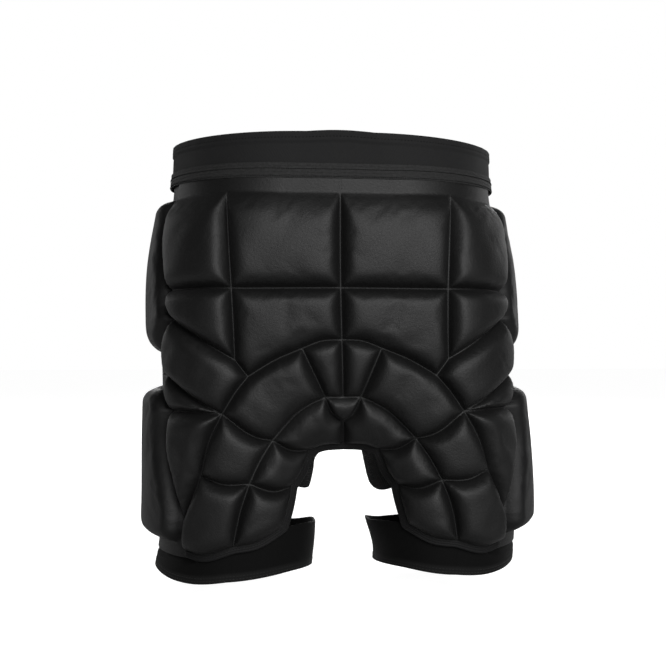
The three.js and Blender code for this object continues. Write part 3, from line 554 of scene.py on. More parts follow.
# %% Triangles on the plan
def beside(line, out):
    along = np.gradient(line, axis=0)
    along /= np.linalg.norm(along, axis=1, keepdims=True)
    return line + np.stack([-along[:, 1], along[:, 0]], 1) * out


def fill_points(outline, pitch):
    low, high = outline.min(0), outline.max(0)
    rows = []
    for k, v in enumerate(np.arange(low[1], high[1], pitch * 0.866)):
        u = np.arange(low[0] + (k % 2) * pitch / 2, high[0], pitch)
        rows.append(np.stack([u, np.full(len(u), v)], 1))
    points = np.vstack(rows)
    return points[inside(points, outline)]


def triangulate(lines, extra):
    """Triangles over the plan, kept to the given lines; the line points come first."""
    known, corners, edges = {}, [], set()
    for line in lines:
        last = None
        for point in line:
            key = (round(point[0], 2), round(point[1], 2))
            if key not in known:
                known[key] = len(corners)
                corners.append(point)
            here = known[key]
            if last is not None and last != here:
                edges.add((min(last, here), max(last, here)))
            last = here
    points = np.vstack([np.array(corners), extra])
    places = [Vector(p) for p in points]
    out, _, faces, *_ = delaunay_2d_cdt(places, sorted(edges), [], 1, 1e-4)
    return np.array([(p.x, p.y) for p in out]), [tuple(f) for f in faces]


def nearest(points, wanted):
    return np.array([int(((points - p) ** 2).sum(1).argmin()) for p in wanted])


def away_from(points, lines, least):
    keep = np.ones(len(points), bool)
    for line in lines:
        near = (points >= line.min(0) - least).all(1) & (points <= line.max(0) + least).all(1)
        pick = np.where(near & keep)[0]
        if len(pick):
            keep[pick[distance_to(points[pick], line) < least]] = False
    return points[keep]


cut = triangulate([SQUARE[[0, 1, 2, 3, 0]]], fill_points(SQUARE, 4))
print("triangles in a square:", len(cut[1]))

# %% [markdown]
# A foam block rises with a round shoulder to a gently domed top.
# A Bevel modifier would round every edge alike, even where the foam was pressed flat.
# Here the distances to a block's sides are joined smoothly, so its corners come out soft.

# %% How high a block stands
SHOULDER = 12
SEAM_HALF = 0.38
ROUND_SHARE = 0.93
TOP_EASE = 0.42
TOP_START = 7
CORNER_POWER = 4.0
CROWN = 1.4
SLIM_BLOCK, WIDE_BLOCK = 5, 17
BROAD_UNEVEN = 0.26
CLOSE_UNEVEN = 0.16


def shoulder(distance, reach):
    t = np.clip((distance - SEAM_HALF) / reach, 0, 1)
    return ROUND_SHARE * (1 - (1 - t) ** 3) ** 0.85 + (1 - ROUND_SHARE) * t


def uneven(points):
    """Slight unevenness of stuffed cloth, in mm."""
    u, v = points[:, 0], points[:, 1]
    broad = np.sin(u / 6.3 + 1.7 * np.sin(v / 17)) * np.sin(v / 7.1 + 1.3 * np.sin(u / 13))
    close = np.sin(u / 2.3 + 1.1 * np.sin(v / 5)) * np.sin(v / 2.9 + np.sin(u / 4.1))
    return BROAD_UNEVEN * broad, CLOSE_UNEVEN * close


def rise_from(side, distance):
    """A block rises slowly from the yoke, and at once from its other sides."""
    if side[:, 1].min() < YOKE_SIDE:
        return distance
    return TOP_EASE * distance * distance / (distance + TOP_START)


def block_heights(points, sides):
    apart = np.stack([rise_from(side, distance_to(points, side)) for side in sides], 1)
    soft = (np.maximum(apart, 1e-3) ** -CORNER_POWER).sum(1) ** (-1 / CORNER_POWER)
    deepest = soft.max()
    full = mix(SMALL_BLOCK, BLOCK, ease((deepest - SLIM_BLOCK) / (WIDE_BLOCK - SLIM_BLOCK)))
    reach = min(SHOULDER, 1.05 * deepest)
    crown = CROWN * (1 - np.exp(-np.clip(soft - 3, 0, 40) / 10))
    broad, close = uneven(points)
    rough = broad * ease(soft / 8) + close * np.exp(-(((soft - 3.5) / 2.5) ** 2))
    return GROOVE + (full - CROWN - GROOVE) * shoulder(soft, reach) + crown + rough


print("shoulder at 1, 4 and 12 mm:", shoulder(np.array([1, 4, 12]), SHOULDER).round(2))

# %% [markdown]
# The real panel is outer cloth, foam and lining, joined all round the rim.
# Three sheets could be stacked, but only the outer one and the lining show.
# So the top sheet is closed with one plain lining sheet.

# %% A whole panel
ROWS_BESIDE = (0.9, -0.9, 2.1, -2.1, 3.8, -3.8)
LINING_PITCH = 7
SEWN_HEIGHT = 2.5
LOOSE_HEIGHT = 7


def outline_of(plan, rim, hem, top):
    half = np.vstack([plan.chain(top + " " + rim, 1)[:-1], plan.chain(hem, 1)])
    other = half[1:-1][::-1] * (-1, 1)
    return np.vstack([half, other])


def padded_panel(name, plan, surface, blocks, crossing, rim, hem, pitch):
    outline = outline_of(plan, rim, hem, "yoke_centre yoke_edge")
    cells = [(b, s) for s in (1, -1) for b in blocks + [YOKE]] + [(b, 1) for b in crossing]
    for names, sign in cells:
        plan.runs(names, sign)
    lines = list(plan.made.values())
    rows = [beside(line, out) for line in lines for out in ROWS_BESIDE]
    close = np.vstack(rows)
    close = away_from(close[inside(close, outline)], lines, 0.8)
    grid = away_from(fill_points(outline, pitch), lines, 4.6)
    flat, faces = triangulate(lines, np.vstack([close, grid]))
    out = np.full(len(flat), float(GROOVE))
    for names, sign in cells:
        if names == YOKE:
            continue
        sides = plan.runs(names, sign)
        pick = np.where(inside(flat, plan.chain(names, sign, closed=True)))[0]
        out[pick] = np.maximum(out[pick], block_heights(flat[pick], sides))
    top = lifted(surface, flat[:, 0], flat[:, 1], out)
    made = close_panel(name, surface, outline, flat, faces, top)
    loose = ease((out - GROOVE - SEWN_HEIGHT) / LOOSE_HEIGHT)
    hold(made, np.concatenate([loose, np.zeros(len(made.data.vertices) - len(out))]))
    return made


def close_panel(name, surface, outline, flat, faces, top):
    """Adds the lining and joins it to the top sheet along the rim."""
    ring = np.vstack([outline, outline[:1]])
    extra = away_from(fill_points(outline, LINING_PITCH), [ring], 3)
    low_flat, low_faces = triangulate([ring], extra)
    low = lifted(surface, low_flat[:, 0], low_flat[:, 1], np.full(len(low_flat), float(OVER_LOW)))
    count = len(flat)
    faces = [f if area_of(flat, f) > 0 else f[::-1] for f in faces]
    low_faces = [f if area_of(low_flat, f) < 0 else f[::-1] for f in low_faces]
    rim = nearest(flat, outline)
    low_rim = nearest(low_flat, outline) + count
    walls = []
    turned = area_of(outline, range(len(outline))) > 0
    for i in range(len(rim)):
        j = (i + 1) % len(rim)
        quad = (int(rim[i]), int(low_rim[i]), int(low_rim[j]), int(rim[j]))
        walls.append(quad if turned else quad[::-1])
    joined = faces + [tuple(i + count for i in f) for f in low_faces] + walls
    return make_piece(name, np.vstack([top, low]), joined, np.vstack([flat, low_flat]))


def area_of(points, loop):
    p = points[list(loop)]
    n = np.roll(p, -1, axis=0)
    return float((p[:, 0] * n[:, 1] - n[:, 0] * p[:, 1]).sum() / 2)


front_panel = padded_panel(
    "front_panel", FRONT, front_surface, FRONT_BLOCKS, [FRONT_SHIELD], FRONT_RIM, FRONT_HEM, 2.6)
back_panel = padded_panel(
    "back_panel", BACK, back_surface, BACK_BLOCKS, [], BACK_RIM, BACK_HEM, 3.6)
print("panel faces:", len(front_panel.data.polygons), "and", len(back_panel.data.polygons))

# %% [markdown]
# ## Side pads
#
# A hip pad and a thigh pad lie on each side, and tuck under the rims of both panels.
# A bevelled box would be quick, but it wouldn't bend round the hip or end along the rims.
# Each is a close grid: a flat flange, a round shoulder and a gently domed middle.

# %% Side pads
TUCK = 6
SIDE_FLANGE = 10.5
SIDE_SHOULDER = 12
SIDE_DOME = 0.5
SIDE_GRID = (84, 96)
HIP = {"top": -23, "low": -171, "high": 13.5, "flat": 4, "reach": 1.6}
THIGH = {"top": -171.5, "low": -309.6, "high": 17, "flat": 0, "reach": 1.0}


def rim_angle(plan, rim, z):
    run = plan.chain(rim, 1)
    u = np.interp(-z, -run[:, 1], run[:, 0])
    x = PANEL_ROUNDING * np.sin(u / PANEL_ROUNDING)
    body = body_at(z)
    return np.arcsin(np.clip((x - body["crest"]) / (body["wide"] - body["crest"]), 0, 0.995))


def close_grid(name, top, under, flat, closed=False, turned=False):
    """One closed sheet from two grids of places, one over the other."""
    rows, cols = top.shape[:2]
    count = rows * cols
    over = grid_faces(rows, cols, closed)
    faces = over + [tuple(i + count for i in f[::-1]) for f in over]
    for c in range(cols if closed else cols - 1):
        n = (c + 1) % cols
        last = (rows - 1) * cols
        faces.append((c + count, n + count, n, c))
        faces.append((last + c, last + n, last + n + count, last + c + count))
    for r in range(0 if closed else rows - 1):
        a, b = r * cols, (r + 1) * cols
        faces.append((a, b, b + count, a + count))
        a, b = a + cols - 1, b + cols - 1
        faces.append((a + count, b + count, b, a))
    if turned:
        faces = [f[::-1] for f in faces]
    places = np.concatenate([top.reshape(-1, 3), under.reshape(-1, 3)])
    flats = np.concatenate([flat.reshape(-1, 2), flat.reshape(-1, 2)])
    return make_piece(name, places, faces, flats)


def side_rise(across, down, reach):
    end = SIDE_FLANGE + reach
    corner = np.hypot(np.maximum(0, end - across), np.maximum(0, end - down))
    t = np.clip((end - corner - SIDE_FLANGE) / reach, 0, 1)
    return (1 - (1 - t) ** 2.2) ** 0.7


def side_pad(name, sign, size):
    tall = size["top"] - size["low"]
    down = np.linspace(-size["flat"], tall, SIDE_GRID[0])
    z = size["top"] - down
    ahead = rim_angle(FRONT, FRONT_RIM, z) * SIDE_ROUNDING - TUCK
    behind = (np.pi - rim_angle(BACK, BACK_RIM, z)) * SIDE_ROUNDING + TUCK
    share = np.linspace(0, 1, SIDE_GRID[1])
    long = (behind - ahead)[:, None]
    at = long * share
    depth = np.minimum(down, (tall - down) / size["reach"])[:, None] + 0 * at
    rise = side_rise(np.minimum(at, long - at), depth, SIDE_SHOULDER)
    dome = SIDE_DOME * np.sin(np.pi * share) * np.sin(np.pi * np.clip(down / tall, 0, 1))[:, None]
    u = sign * (ahead[:, None] + at)
    v = z[:, None] + 0 * at
    surface = side_surface(sign)
    out = mix(UNDER_HIGH, size["high"] - SIDE_DOME, rise) + dome * rise
    top = lifted(surface, u, v, out)
    under = lifted(surface, u, v, np.full(u.shape, float(UNDER_LOW)))
    made = close_grid(name, top, under, np.stack([u, v], -1), turned=sign > 0)
    hold(made, np.concatenate([ease((rise.reshape(-1) - 0.3) / 0.5), np.zeros(rise.size)]))
    return made


hip_pads = {s: side_pad(f"hip_cushion_{n}", s, HIP) for s, n in SIDES.items()}
thigh_pads = {s: side_pad(f"thigh_cushion_{n}", s, THIGH) for s, n in SIDES.items()}
print("side pads:", [p.name for p in (*hip_pads.values(), *thigh_pads.values())])

# %% [markdown]
# ## A short cloth run
#
# Cloth over foam isn't perfectly smooth: it swells, and wrinkles a little near its seams.
# A noise texture could stand for that, but real wrinkles start at seams and follow the tension.
# So Cloth runs for a few frames, with a little pressure and slightly too much cloth.
# The seams are held, each place moves by a little at most, and the result is kept as the mesh.

# %% Cloth run
CLOTH_FRAMES = 14
MOST_MOVE = 0.0013
CLOTH = {
    "quality": 4, "mass": 0.002, "tension_stiffness": 12, "compression_stiffness": 12,
    "shear_stiffness": 6, "bending_stiffness": 0.05, "vertex_group_mass": "sewn",
    "shrink_min": -0.008, "shrink_max": -0.008, "use_pressure": True,
    "uniform_pressure_force": 4,
}


def places_of(mesh):
    out = np.empty(len(mesh.vertices) * 3, np.float32)
    mesh.vertices.foreach_get("co", out)
    return out.reshape(-1, 3)


def add_cloth(piece):
    cloth = piece.modifiers.new("swell", "CLOTH")
    for key, value in CLOTH.items():
        setattr(cloth.settings, key, value)
    cloth.settings.effector_weights.gravity = 0
    cloth.collision_settings.use_collision = False
    cloth.collision_settings.use_self_collision = False


def settle(pieces):
    before = [places_of(piece.data) for piece in pieces]
    for piece in pieces:
        add_cloth(piece)
    for frame in range(1, CLOTH_FRAMES + 1):
        bpy.context.scene.frame_set(frame)
    graph = bpy.context.evaluated_depsgraph_get()
    after = [places_of(piece.evaluated_get(graph).data) for piece in pieces]
    bpy.context.scene.frame_set(1)
    for piece, old, new in zip(pieces, before, after):
        piece.modifiers.clear()
        move = new - old
        far = np.linalg.norm(move, axis=1, keepdims=True)
        print(piece.name, "moved by up to", round(float(far.max()) * 1000, 2), "mm")
        move *= MOST_MOVE / (MOST_MOVE + far) * loose_places[piece.name][:, None]
        piece.data.vertices.foreach_set("co", (old + move).astype(np.float32).reshape(-1))
        piece.data.update()


settle([front_panel, back_panel, *hip_pads.values(), *thigh_pads.values()])

# %% [markdown]
# ## Waistband, tape and leg bands
#
# These are sheets of knit elastic and tape, worn stretched, with round edges.
# A swept profile curve could make them, but their edges slant and their height changes.
# So a sheet's thickness is worked out from the distance to its edges.

# %% Sheets with round edges
def stations(long, step, edge=1.2):
    """Distances across a sheet, close together over both of its edges."""
    near = [0, 0.12, 0.35, 0.7, edge]
    middle = np.linspace(edge, long - edge, max(3, int((long - 2 * edge) / step)))[1:-1]
    return np.array([*near, *middle, *(long - np.array(near[::-1]))])


def nose(distance, thickness):
    """How thick a sheet with a round edge is at a distance from it."""
    r = thickness / 2
    t = np.clip(1 - distance / r, 0, 1)
    return thickness * np.sqrt(np.maximum(0, 1 - t**2))


def outward_of(mid, closed):
    along = np.roll(mid, -1, 1) - np.roll(mid, 1, 1) if closed else np.gradient(mid, axis=1)
    n = np.cross(along, np.gradient(mid, axis=0))
    return n / np.linalg.norm(n, axis=-1, keepdims=True)


def shell(name, mid, low, high, flat, closed=False):
    n = outward_of(mid, closed)
    top = mid + n * high[..., None]
    under = mid + n * low[..., None]
    return close_grid(name, top, under, flat, closed=closed)


print("places across a sheet of 30 mm:", len(stations(30, 1.1)))

# %% [markdown]
# The waistband is a wide elastic with its top edge folded over and sewn down.
# A tape covers the seam where it meets the panels.
# Two plain loops could stand for both, but the hem, pressed lines and weave catch the light.

# %% Waistband
WAIST_LOW = -18.6
WAIST_SIDE_DROP = 3.2
WAIST_THICK = 2.3
WAIST_OUT = GAP + 1.3
HEM_FOLD = 0.8
HEM_ROW = 5
TAPE_THICK = 0.9
COLUMNS = 420


def along_ring(mid):
    """The distance round a closed sheet, along its first row."""
    ring = np.linalg.norm(np.roll(mid[0], -1, 0) - mid[0], axis=1)
    return np.concatenate([[0], np.cumsum(ring[:-1])])


def around_trunk(low_at, high_at, step):
    share = 0.5 + np.arange(COLUMNS) / COLUMNS
    low, high = low_at(share), high_at(share)
    part = stations(float(np.mean(high - low)), step)
    part = part / part[-1]
    z = mix(low[None], high[None], part[:, None])
    mid = trunk_surface(share[None] + 0 * z, z)
    flat = np.stack([along_ring(mid)[None] + 0 * z, z], -1)
    return mid, flat, high[None] - z, z - low[None]


def waist_top(share):
    return TOP - WAIST_SIDE_DROP * np.sin(2 * np.pi * share) ** 2


def press(distance, at, width, deep):
    """A shallow pressed line at a distance from an edge."""
    return -deep * np.exp(-(((distance - at) / width) ** 2))


def make_waistband():
    mid, flat, from_top, from_low = around_trunk(
        lambda s: WAIST_LOW + 0 * s, waist_top, 1.1)
    edge = np.minimum(from_top, from_low)
    thick = nose(edge, WAIST_THICK)
    thick = thick + HEM_FOLD * ease((8.8 - from_top) / 0.6) * ease(from_top / 0.8)
    thick = thick + press(from_top, HEM_ROW, 0.6, 0.25) + press(from_top, 9.3, 0.6, 0.3)
    along = flat[..., 0]
    ripple = 0.14 * np.sin(along / 2.1 + 1.4 * np.sin(along / 31)) * np.exp(-from_top / 5)
    low = WAIST_OUT - nose(edge, WAIST_THICK) / 2
    return shell("waistband_cloth", mid, low, low + thick + ripple * (edge > 0.5), flat, True)


def tape_height(z):
    """The tape lies on the yoke, and drops to the waistband above it."""
    return GROOVE + 0.45 - 0.3 * ease((z - YOKE_TOP) / 4)


def make_tape():
    mid, flat, from_top, from_low = around_trunk(
        lambda s: TAPE_LOW + 0 * s, lambda s: TAPE_HIGH + 0 * s, 0.7)
    along, z = flat[..., 0], flat[..., 1]
    edge = np.minimum(from_top, from_low)
    thick = nose(edge, TAPE_THICK) + press(edge, 1.5, 0.4, 0.25)
    weave = 0.12 * np.sin(along * 1.1 + 5 * np.sin(along / 9) + 2.6 * z)
    thick = thick + weave * ease(edge / 0.8)
    low = tape_height(z) - nose(edge, TAPE_THICK) / 2
    return shell("waist_tape_cloth", mid, low, low + thick, flat, True)


waistband = make_waistband()
tape = make_tape()
print("faces of waistband and tape:", len(waistband.data.polygons), len(tape.data.polygons))

# %% [markdown]
# The leg bands end in a slanting hem, and their top edge runs on under the thigh pad.
# A straight tube could be cut slanting, but then the hem's fold wouldn't follow the cut.
# A table of edge heights round the thigh gives both.

# %% Leg bands
BAND_THICK = 1.8
BAND_HEM = 6.5
BAND_SUNK = 1.95
BAND_HEM_ROWS = (2.4, 4.6)
BAND = np.array([
    (0, -292, -327), (15, -293, -328.5), (26, -310.4, -329), (40, -310.4, -328.5),
    (90, -310.4, -326), (145, -310.4, -340), (157, -310.4, -344), (168, -306, -346),
    (180, -305, -346), (225, -303, -344), (270, -293, -329), (315, -287, -323), (360, -292, -327),
])


def under_pad(degrees):
    """Where the band's top edge runs on up, under the thigh pad and the back panel."""
    return ease((degrees - 12) / 10) * ease((176 - degrees) / 10)


def make_leg_band(name, sign):
    degrees = np.arange(360) * 1.0
    tucked = under_pad(degrees)
    high = through(BAND[:, 0], BAND[:, 1], degrees) + 4 * tucked
    low = through(BAND[:, 0], BAND[:, 2], degrees)
    part = stations(float(np.mean(high - low)), 1.1)
    part = part / part[-1]
    z = mix(low[None], high[None], part[:, None])
    mid = leg_surface(sign)(np.radians(degrees)[None] + 0 * z, z)
    from_top, from_low = high[None] - z, z - low[None]
    edge = np.minimum(from_top, from_low)
    thick = nose(edge, BAND_THICK) + 0.35 * ease((BAND_HEM - from_low) / 0.7) * ease(from_low / 0.8)
    thick = thick + press(from_low, BAND_HEM_ROWS[1], 0.45, 0.3)
    thick = thick + press(from_low, BAND_HEM_ROWS[0], 0.45, 0.2)
    sunk = BAND_SUNK * tucked[None] * ease((9 - from_top) / 4)
    low_side = -nose(edge, BAND_THICK) / 2 - sunk
    flat = np.stack([along_ring(mid)[None] + 0 * z, z], -1)
    high_side = low_side + thick
    # Painted shade: the band is painted darker above its hem, where the pads and panels over it
    # shade it, and lighter on the hem.
    hem = ease((7 - from_low) / 1.2)
    if sign < 0:
        mid, low_side, high_side, flat, hem = (
            a[:, ::-1] for a in (mid, low_side, high_side, flat, hem))
    made = shell(name, mid, low_side, high_side, flat, True)
    shade = made.data.attributes.new("hem", "FLOAT", "POINT")
    shade.data.foreach_set("value", np.tile(hem.reshape(-1), 2).astype(np.float32))
    return made


leg_bands = {s: make_leg_band(f"leg_band_cloth_{n}", s) for s, n in SIDES.items()}
print("bands:", [p.name for p in leg_bands.values()])

# %% [markdown]
# ## Bindings and gusset
#
# A narrow corded binding is sewn along the lower outline of each panel.
# A bevelled curve would give a round cord, but the real one is flat, with three fine ridges.
# So it is a narrow sheet that starts a little under the panel's rim, which leaves no slit.

# %% Bindings
BINDING_WIDTH = 5
BINDING_TUCK = 0.5
BINDING_THICK = 1.8
CORD_STEP = 1.65


def soft_normals(line, reach):
    along = np.gradient(line, axis=0)
    padded = np.vstack([along[:1]] * reach + [along] + [along[-1:]] * reach)
    kernel = np.hanning(2 * reach + 3)[1:-1]
    along = np.stack([np.convolve(padded[:, k], kernel, "valid") for k in (0, 1)], 1)
    along /= np.linalg.norm(along, axis=1, keepdims=True)
    return np.stack([along[:, 1], -along[:, 0]], 1)


def hem_line(plan, hem):
    half = plan.chain(hem, 1)
    return even_line(np.vstack([half[:-1] * (-1, 1), half[::-1]]), 1.6)


def make_binding(name, surface, plan, hem):
    line, along = hem_line(plan, hem)
    normals = soft_normals(line, 2)
    wide = BINDING_WIDTH + GAP + BINDING_TUCK
    across = stations(wide, 0.4, 0.9)[::-1]
    places = line[None] + normals[None] * (across - BINDING_TUCK)[:, None, None]
    u, v = places[..., 0], places[..., 1]
    edge = np.minimum(across, wide - across)[:, None] + 0 * u
    ends = np.minimum(along, along[-1] - along)[None] + 0 * u
    body = nose(np.minimum(edge, ends), BINDING_THICK)
    cords = 0.22 * np.cos(2 * np.pi * (across - 1.5) / CORD_STEP)[:, None] * ease(edge / 0.9)
    thick = body + cords
    low = OVER_LOW + 1 - body / 2
    flat = np.stack([along[None] + 0 * u, across[:, None] + 0 * u], -1)
    return shell(name, surface(u, v), low, low + thick, flat)


front_binding = make_binding("front_binding_cloth", front_surface, FRONT, FRONT_HEM)
back_binding = make_binding("back_binding_cloth", back_surface, BACK, BACK_HEM)
print("binding faces:", len(front_binding.data.polygons), len(back_binding.data.polygons))

# %% [markdown]
# The gusset is thin netting, which runs under the crotch and shows on the inner thighs.
# It could be cloth hung between the bindings by a simulation.
# A smooth surface through the two outlines and a middle line was chosen, as it is worn taut.

# %% Gusset
CROTCH_LOW = -231.5
WING_LOW = {-1: -262, 1: -266}
TUCKED_ROWS = (-6, 0, 6)
NETTING_THICK = 1.3
HALF_COLUMNS = 30
QUARTER_ROWS = 14


def gusset_edge(surface, plan, sign, count):
    run = plan.chain("crotch_centre inner_high inner_low", 1)
    line, _ = even_line(run, np.linalg.norm(np.diff(run, axis=0), axis=1).sum() / count)
    n = soft_normals(line, 2)
    out = [line * (sign, 1) + n * (sign, 1) * d for d in TUCKED_ROWS]
    return [surface(p[:, 0], p[:, 1]) for p in out]


def quarter(start, end, steps):
    power = 2 / LEG_ROUNDNESS
    turn = (np.pi / 2) * (np.linspace(0, 1, steps) ** 1.3)
    s = (np.sin(turn) ** power)[:, None, None]
    c = (np.maximum(0, np.cos(turn)) ** power)[:, None]
    bow = start[None] + (end - start)[None] * s
    bow[..., 1] = start[None, :, 1] * c
    return bow


def make_gusset():
    halves = []
    for sign in (-1, 1):
        gap = float(gap_at(sign, CROTCH_LOW))
        middle = smooth_run([
            (0, 0, CROTCH_LOW), (sign * gap * 0.72, 0, CROTCH_LOW - 2),
            (sign * gap, 0, CROTCH_LOW - 8), (sign * (gap + 1.5), 0, CROTCH_LOW - 17),
            (sign * (gap + 4.5), 0, WING_LOW[sign])], 0.2)
        at = np.linspace(0, len(middle) - 1, HALF_COLUMNS + 1).round().astype(int)
        middle = middle[at]
        front = gusset_edge(front_surface, FRONT, sign, HALF_COLUMNS)
        back = gusset_edge(back_surface, BACK, -sign, HALF_COLUMNS)
        ahead = quarter(front[0], middle, QUARTER_ROWS)
        behind = quarter(back[0], middle, QUARTER_ROWS)[::-1]
        half = np.stack([front[2], front[1], *ahead, *behind[1:], back[1], back[2]], 0)
        halves.append(half)
    rows = np.concatenate([halves[0][:, ::-1], halves[1][:, 1:]], 1)
    mid = np.swapaxes(rows, 0, 1)
    edge = np.minimum(np.arange(mid.shape[0]), mid.shape[0] - 1 - np.arange(mid.shape[0]))
    thick = np.minimum(0.35 + 0.35 * edge, NETTING_THICK)[:, None] + 0 * mid[..., 0]
    length = np.cumsum(np.linalg.norm(np.gradient(mid, axis=1), axis=-1), axis=1)
    width = np.cumsum(np.linalg.norm(np.gradient(mid, axis=0), axis=-1), axis=0)
    return shell("gusset_netting", mid, -thick / 2, thick / 2, np.stack([length, width], -1))


gusset = make_gusset()
print("gusset faces:", len(gusset.data.polygons))

# %% [markdown]
# ## Cloth materials
#
# All the cloth is black, so finishes differ by gleam and grain more than by colour.
# Pictures of weave could be used, but procedural grain stays sharp at any distance.
# Fine relief is bump, read from each piece's own map in metres.

# %% Shader helpers
def node(material, kind, settings=None, **inputs):
    made = material.node_tree.nodes.new(kind)
    for key, value in (settings or {}).items():
        setattr(made, key, value)
    for key, value in inputs.items():
        made.inputs[key].default_value = value
    return made


def wire(material, out, into):
    material.node_tree.links.new(out, into)


def into_shader(material, socket):
    return material.node_tree.nodes["Principled BSDF"].inputs[socket]


def cloth_map(material):
    return node(material, "ShaderNodeUVMap", {"uv_map": "cloth"}).outputs["UV"]


def bump(material, heights, strength, distance):
    """Chains bump nodes for several height outputs."""
    last = None
    for height in heights:
        made = node(material, "ShaderNodeBump", Strength=strength, Distance=distance)
        wire(material, height, made.inputs["Height"])
        if last:
            wire(material, last, made.inputs["Normal"])
        last = made.outputs["Normal"]
    wire(material, last, into_shader(material, "Normal"))


def noise(material, scale, detail=2.0):
    made = node(material, "ShaderNodeTexNoise", Scale=scale, Detail=detail)
    wire(material, cloth_map(material), made.inputs["Vector"])
    return made.outputs["Fac"]


def ribs(material, period, direction="X", distortion=0.0):
    made = node(material, "ShaderNodeTexWave", {"bands_direction": direction},
                Scale=0.314 / period, Distortion=distortion)
    wire(material, cloth_map(material), made.inputs["Vector"])
    return made.outputs["Fac"]


def vary(material, socket, height, low, high):
    """Lets a height from 0 to 1 lead a shader input from low to high."""
    made = node(material, "ShaderNodeMapRange")
    made.inputs["To Min"].default_value = low
    made.inputs["To Max"].default_value = high
    wire(material, height, made.inputs["Value"])
    wire(material, made.outputs["Result"], into_shader(material, socket))

# %% [markdown]
# The panels are a smooth knit with a satin gleam, and the side pads are a little duller.
# The elastic is ribbed, the netting has small holes, and the tape is a coarse weave.
# One material for all would be less work, but the pieces would melt into one another.

# %% The cloths
CLOTH_LOOKS = {  # red and green, blue, roughness, sheen, gleam
    "panel_cloth": (0.0045, 0.0047, 0.58, 0.01, 0.46),
    "side_cloth": (0.005, 0.0052, 0.56, 0.01, 0.36),
    "elastic": (0.0145, 0.0148, 0.75, 0.03, 0.2),
    "band_elastic": (0.0035, 0.0036, 0.8, 0.03, 0.12),
    "binding_knit": (0.0065, 0.0067, 0.7, 0.04, 0.25),
    "netting": (0.004, 0.0042, 0.8, 0.03, 0.14),
    "tape": (0.017, 0.0174, 0.72, 0.05, 0.2),
    "thread": (0.022, 0.0225, 0.6, 0.08, 0.25),
}


def new_material(name, grey, blue, roughness, sheen, gleam):
    made = bpy.data.materials.new(name)
    made.use_nodes = True
    for socket, value in (
        ("Base Color", (grey, grey, blue, 1)), ("Roughness", roughness), ("Sheen Weight", sheen),
        ("Sheen Roughness", 0.4), ("Specular IOR Level", gleam),
    ):
        into_shader(made, socket).default_value = value
    return made


def make_materials():
    made = {name: new_material(name, *looks) for name, looks in CLOTH_LOOKS.items()}
    panel, side, elastic, band, binding, netting, tape, _ = made.values()
    for smooth in (panel, side):
        bump(smooth, [noise(smooth, 1300, 3), noise(smooth, 420, 2)], 0.6, 0.0003)
    vary(panel, "Roughness", noise(panel, 800, 3), 0.46, 0.66)
    vary(panel, "Base Color", noise(panel, 60, 4), 0.0032, 0.006)
    bump(elastic, [ribs(elastic, 0.0011), noise(elastic, 900, 3)], 0.5, 0.0003)
    bump(band, [ribs(band, 0.0011), noise(band, 1200)], 0.25, 0.0002)
    # Painted shade on the leg bands: darker above the hem, where the pads over them shade them.
    hem = node(band, "ShaderNodeAttribute", {"attribute_name": "hem"})
    vary(band, "Base Color", hem.outputs["Fac"], 0.0038, 0.0115)
    bump(binding, [ribs(binding, 0.0009), noise(binding, 1300)], 0.35, 0.0002)
    bump(netting, [ribs(netting, 0.0021, "X"), ribs(netting, 0.0021, "Y")], 0.7, 0.0006)
    bump(tape, [ribs(tape, 0.0024, "Y", 3.5), noise(tape, 700, 3)], 0.8, 0.0005)
    vary(tape, "Base Color", noise(tape, 500, 3), 0.01, 0.042)
    return made


materials = make_materials()
print("materials:", sorted(materials))

# %% [markdown]
# ## Stitches
#
# Rows of stitches hold the hems, the tape and the bindings.
# A bump pattern could hint at them, but small real forms catch the light as thread does.
# Geometry Nodes suit a form that repeats: one group lays a stitch at even steps along a line.

# %% The stitch node group
STITCH_NODES = {
    "start": "NodeGroupInput", "end": "NodeGroupOutput", "curve": "GeometryNodeMeshToCurve",
    "sample": "GeometryNodeResampleCurve", "tangent": "GeometryNodeInputTangent",
    "align": "FunctionNodeAlignRotationToVector", "turn": "FunctionNodeRotateRotation",
    "slant": "ShaderNodeCombineXYZ", "euler": "FunctionNodeEulerToRotation",
    "stitch": "GeometryNodeMeshUVSphere", "size": "ShaderNodeCombineXYZ",
    "place": "GeometryNodeInstanceOnPoints", "real": "GeometryNodeRealizeInstances",
    "paint": "GeometryNodeSetMaterial",
}
STITCH_WIRES = """
start.Geometry > curve.Mesh
curve.Curve > sample.Curve
start.Step > sample.Length
tangent.Tangent > align.Vector
align.Rotation > turn.Rotation
start.Slant > slant.X
slant.Vector > euler.Euler
euler.Rotation > turn.Rotate By
start.Thickness > size.X
start.Thickness > size.Y
start.Length > size.Z
sample.Curve > place.Points
stitch.Mesh > place.Instance
turn.Rotation > place.Rotation
size.Vector > place.Scale
place.Instances > real.Geometry
real.Geometry > paint.Geometry
start.Thread > paint.Material
paint.Geometry > end.Geometry
"""


def set_length_mode(sample):
    if "Mode" in sample.inputs:
        sample.inputs["Mode"].default_value = "Length"
    else:
        sample.mode = "LENGTH"


def stitch_group():
    group = bpy.data.node_groups.new("stitches", "GeometryNodeTree")
    for name, way, kind in (
        ("Geometry", "OUTPUT", "Geometry"), ("Geometry", "INPUT", "Geometry"),
        ("Step", "INPUT", "Float"), ("Length", "INPUT", "Float"), ("Thickness", "INPUT", "Float"),
        ("Slant", "INPUT", "Float"), ("Thread", "INPUT", "Material"),
    ):
        group.interface.new_socket(name, in_out=way, socket_type="NodeSocket" + kind)
    made = {name: group.nodes.new(kind) for name, kind in STITCH_NODES.items()}
    set_length_mode(made["sample"])
    made["align"].axis = "Z"
    made["turn"].rotation_space = "LOCAL"
    for key, value in (("Segments", 6), ("Rings", 5), ("Radius", 0.5)):
        made["stitch"].inputs[key].default_value = value
    for line in STITCH_WIRES.strip().splitlines():
        (a, out), (b, into) = (end.split(".") for end in line.split(" > "))
        group.links.new(made[a].outputs[out], made[b].inputs[into])
    return group


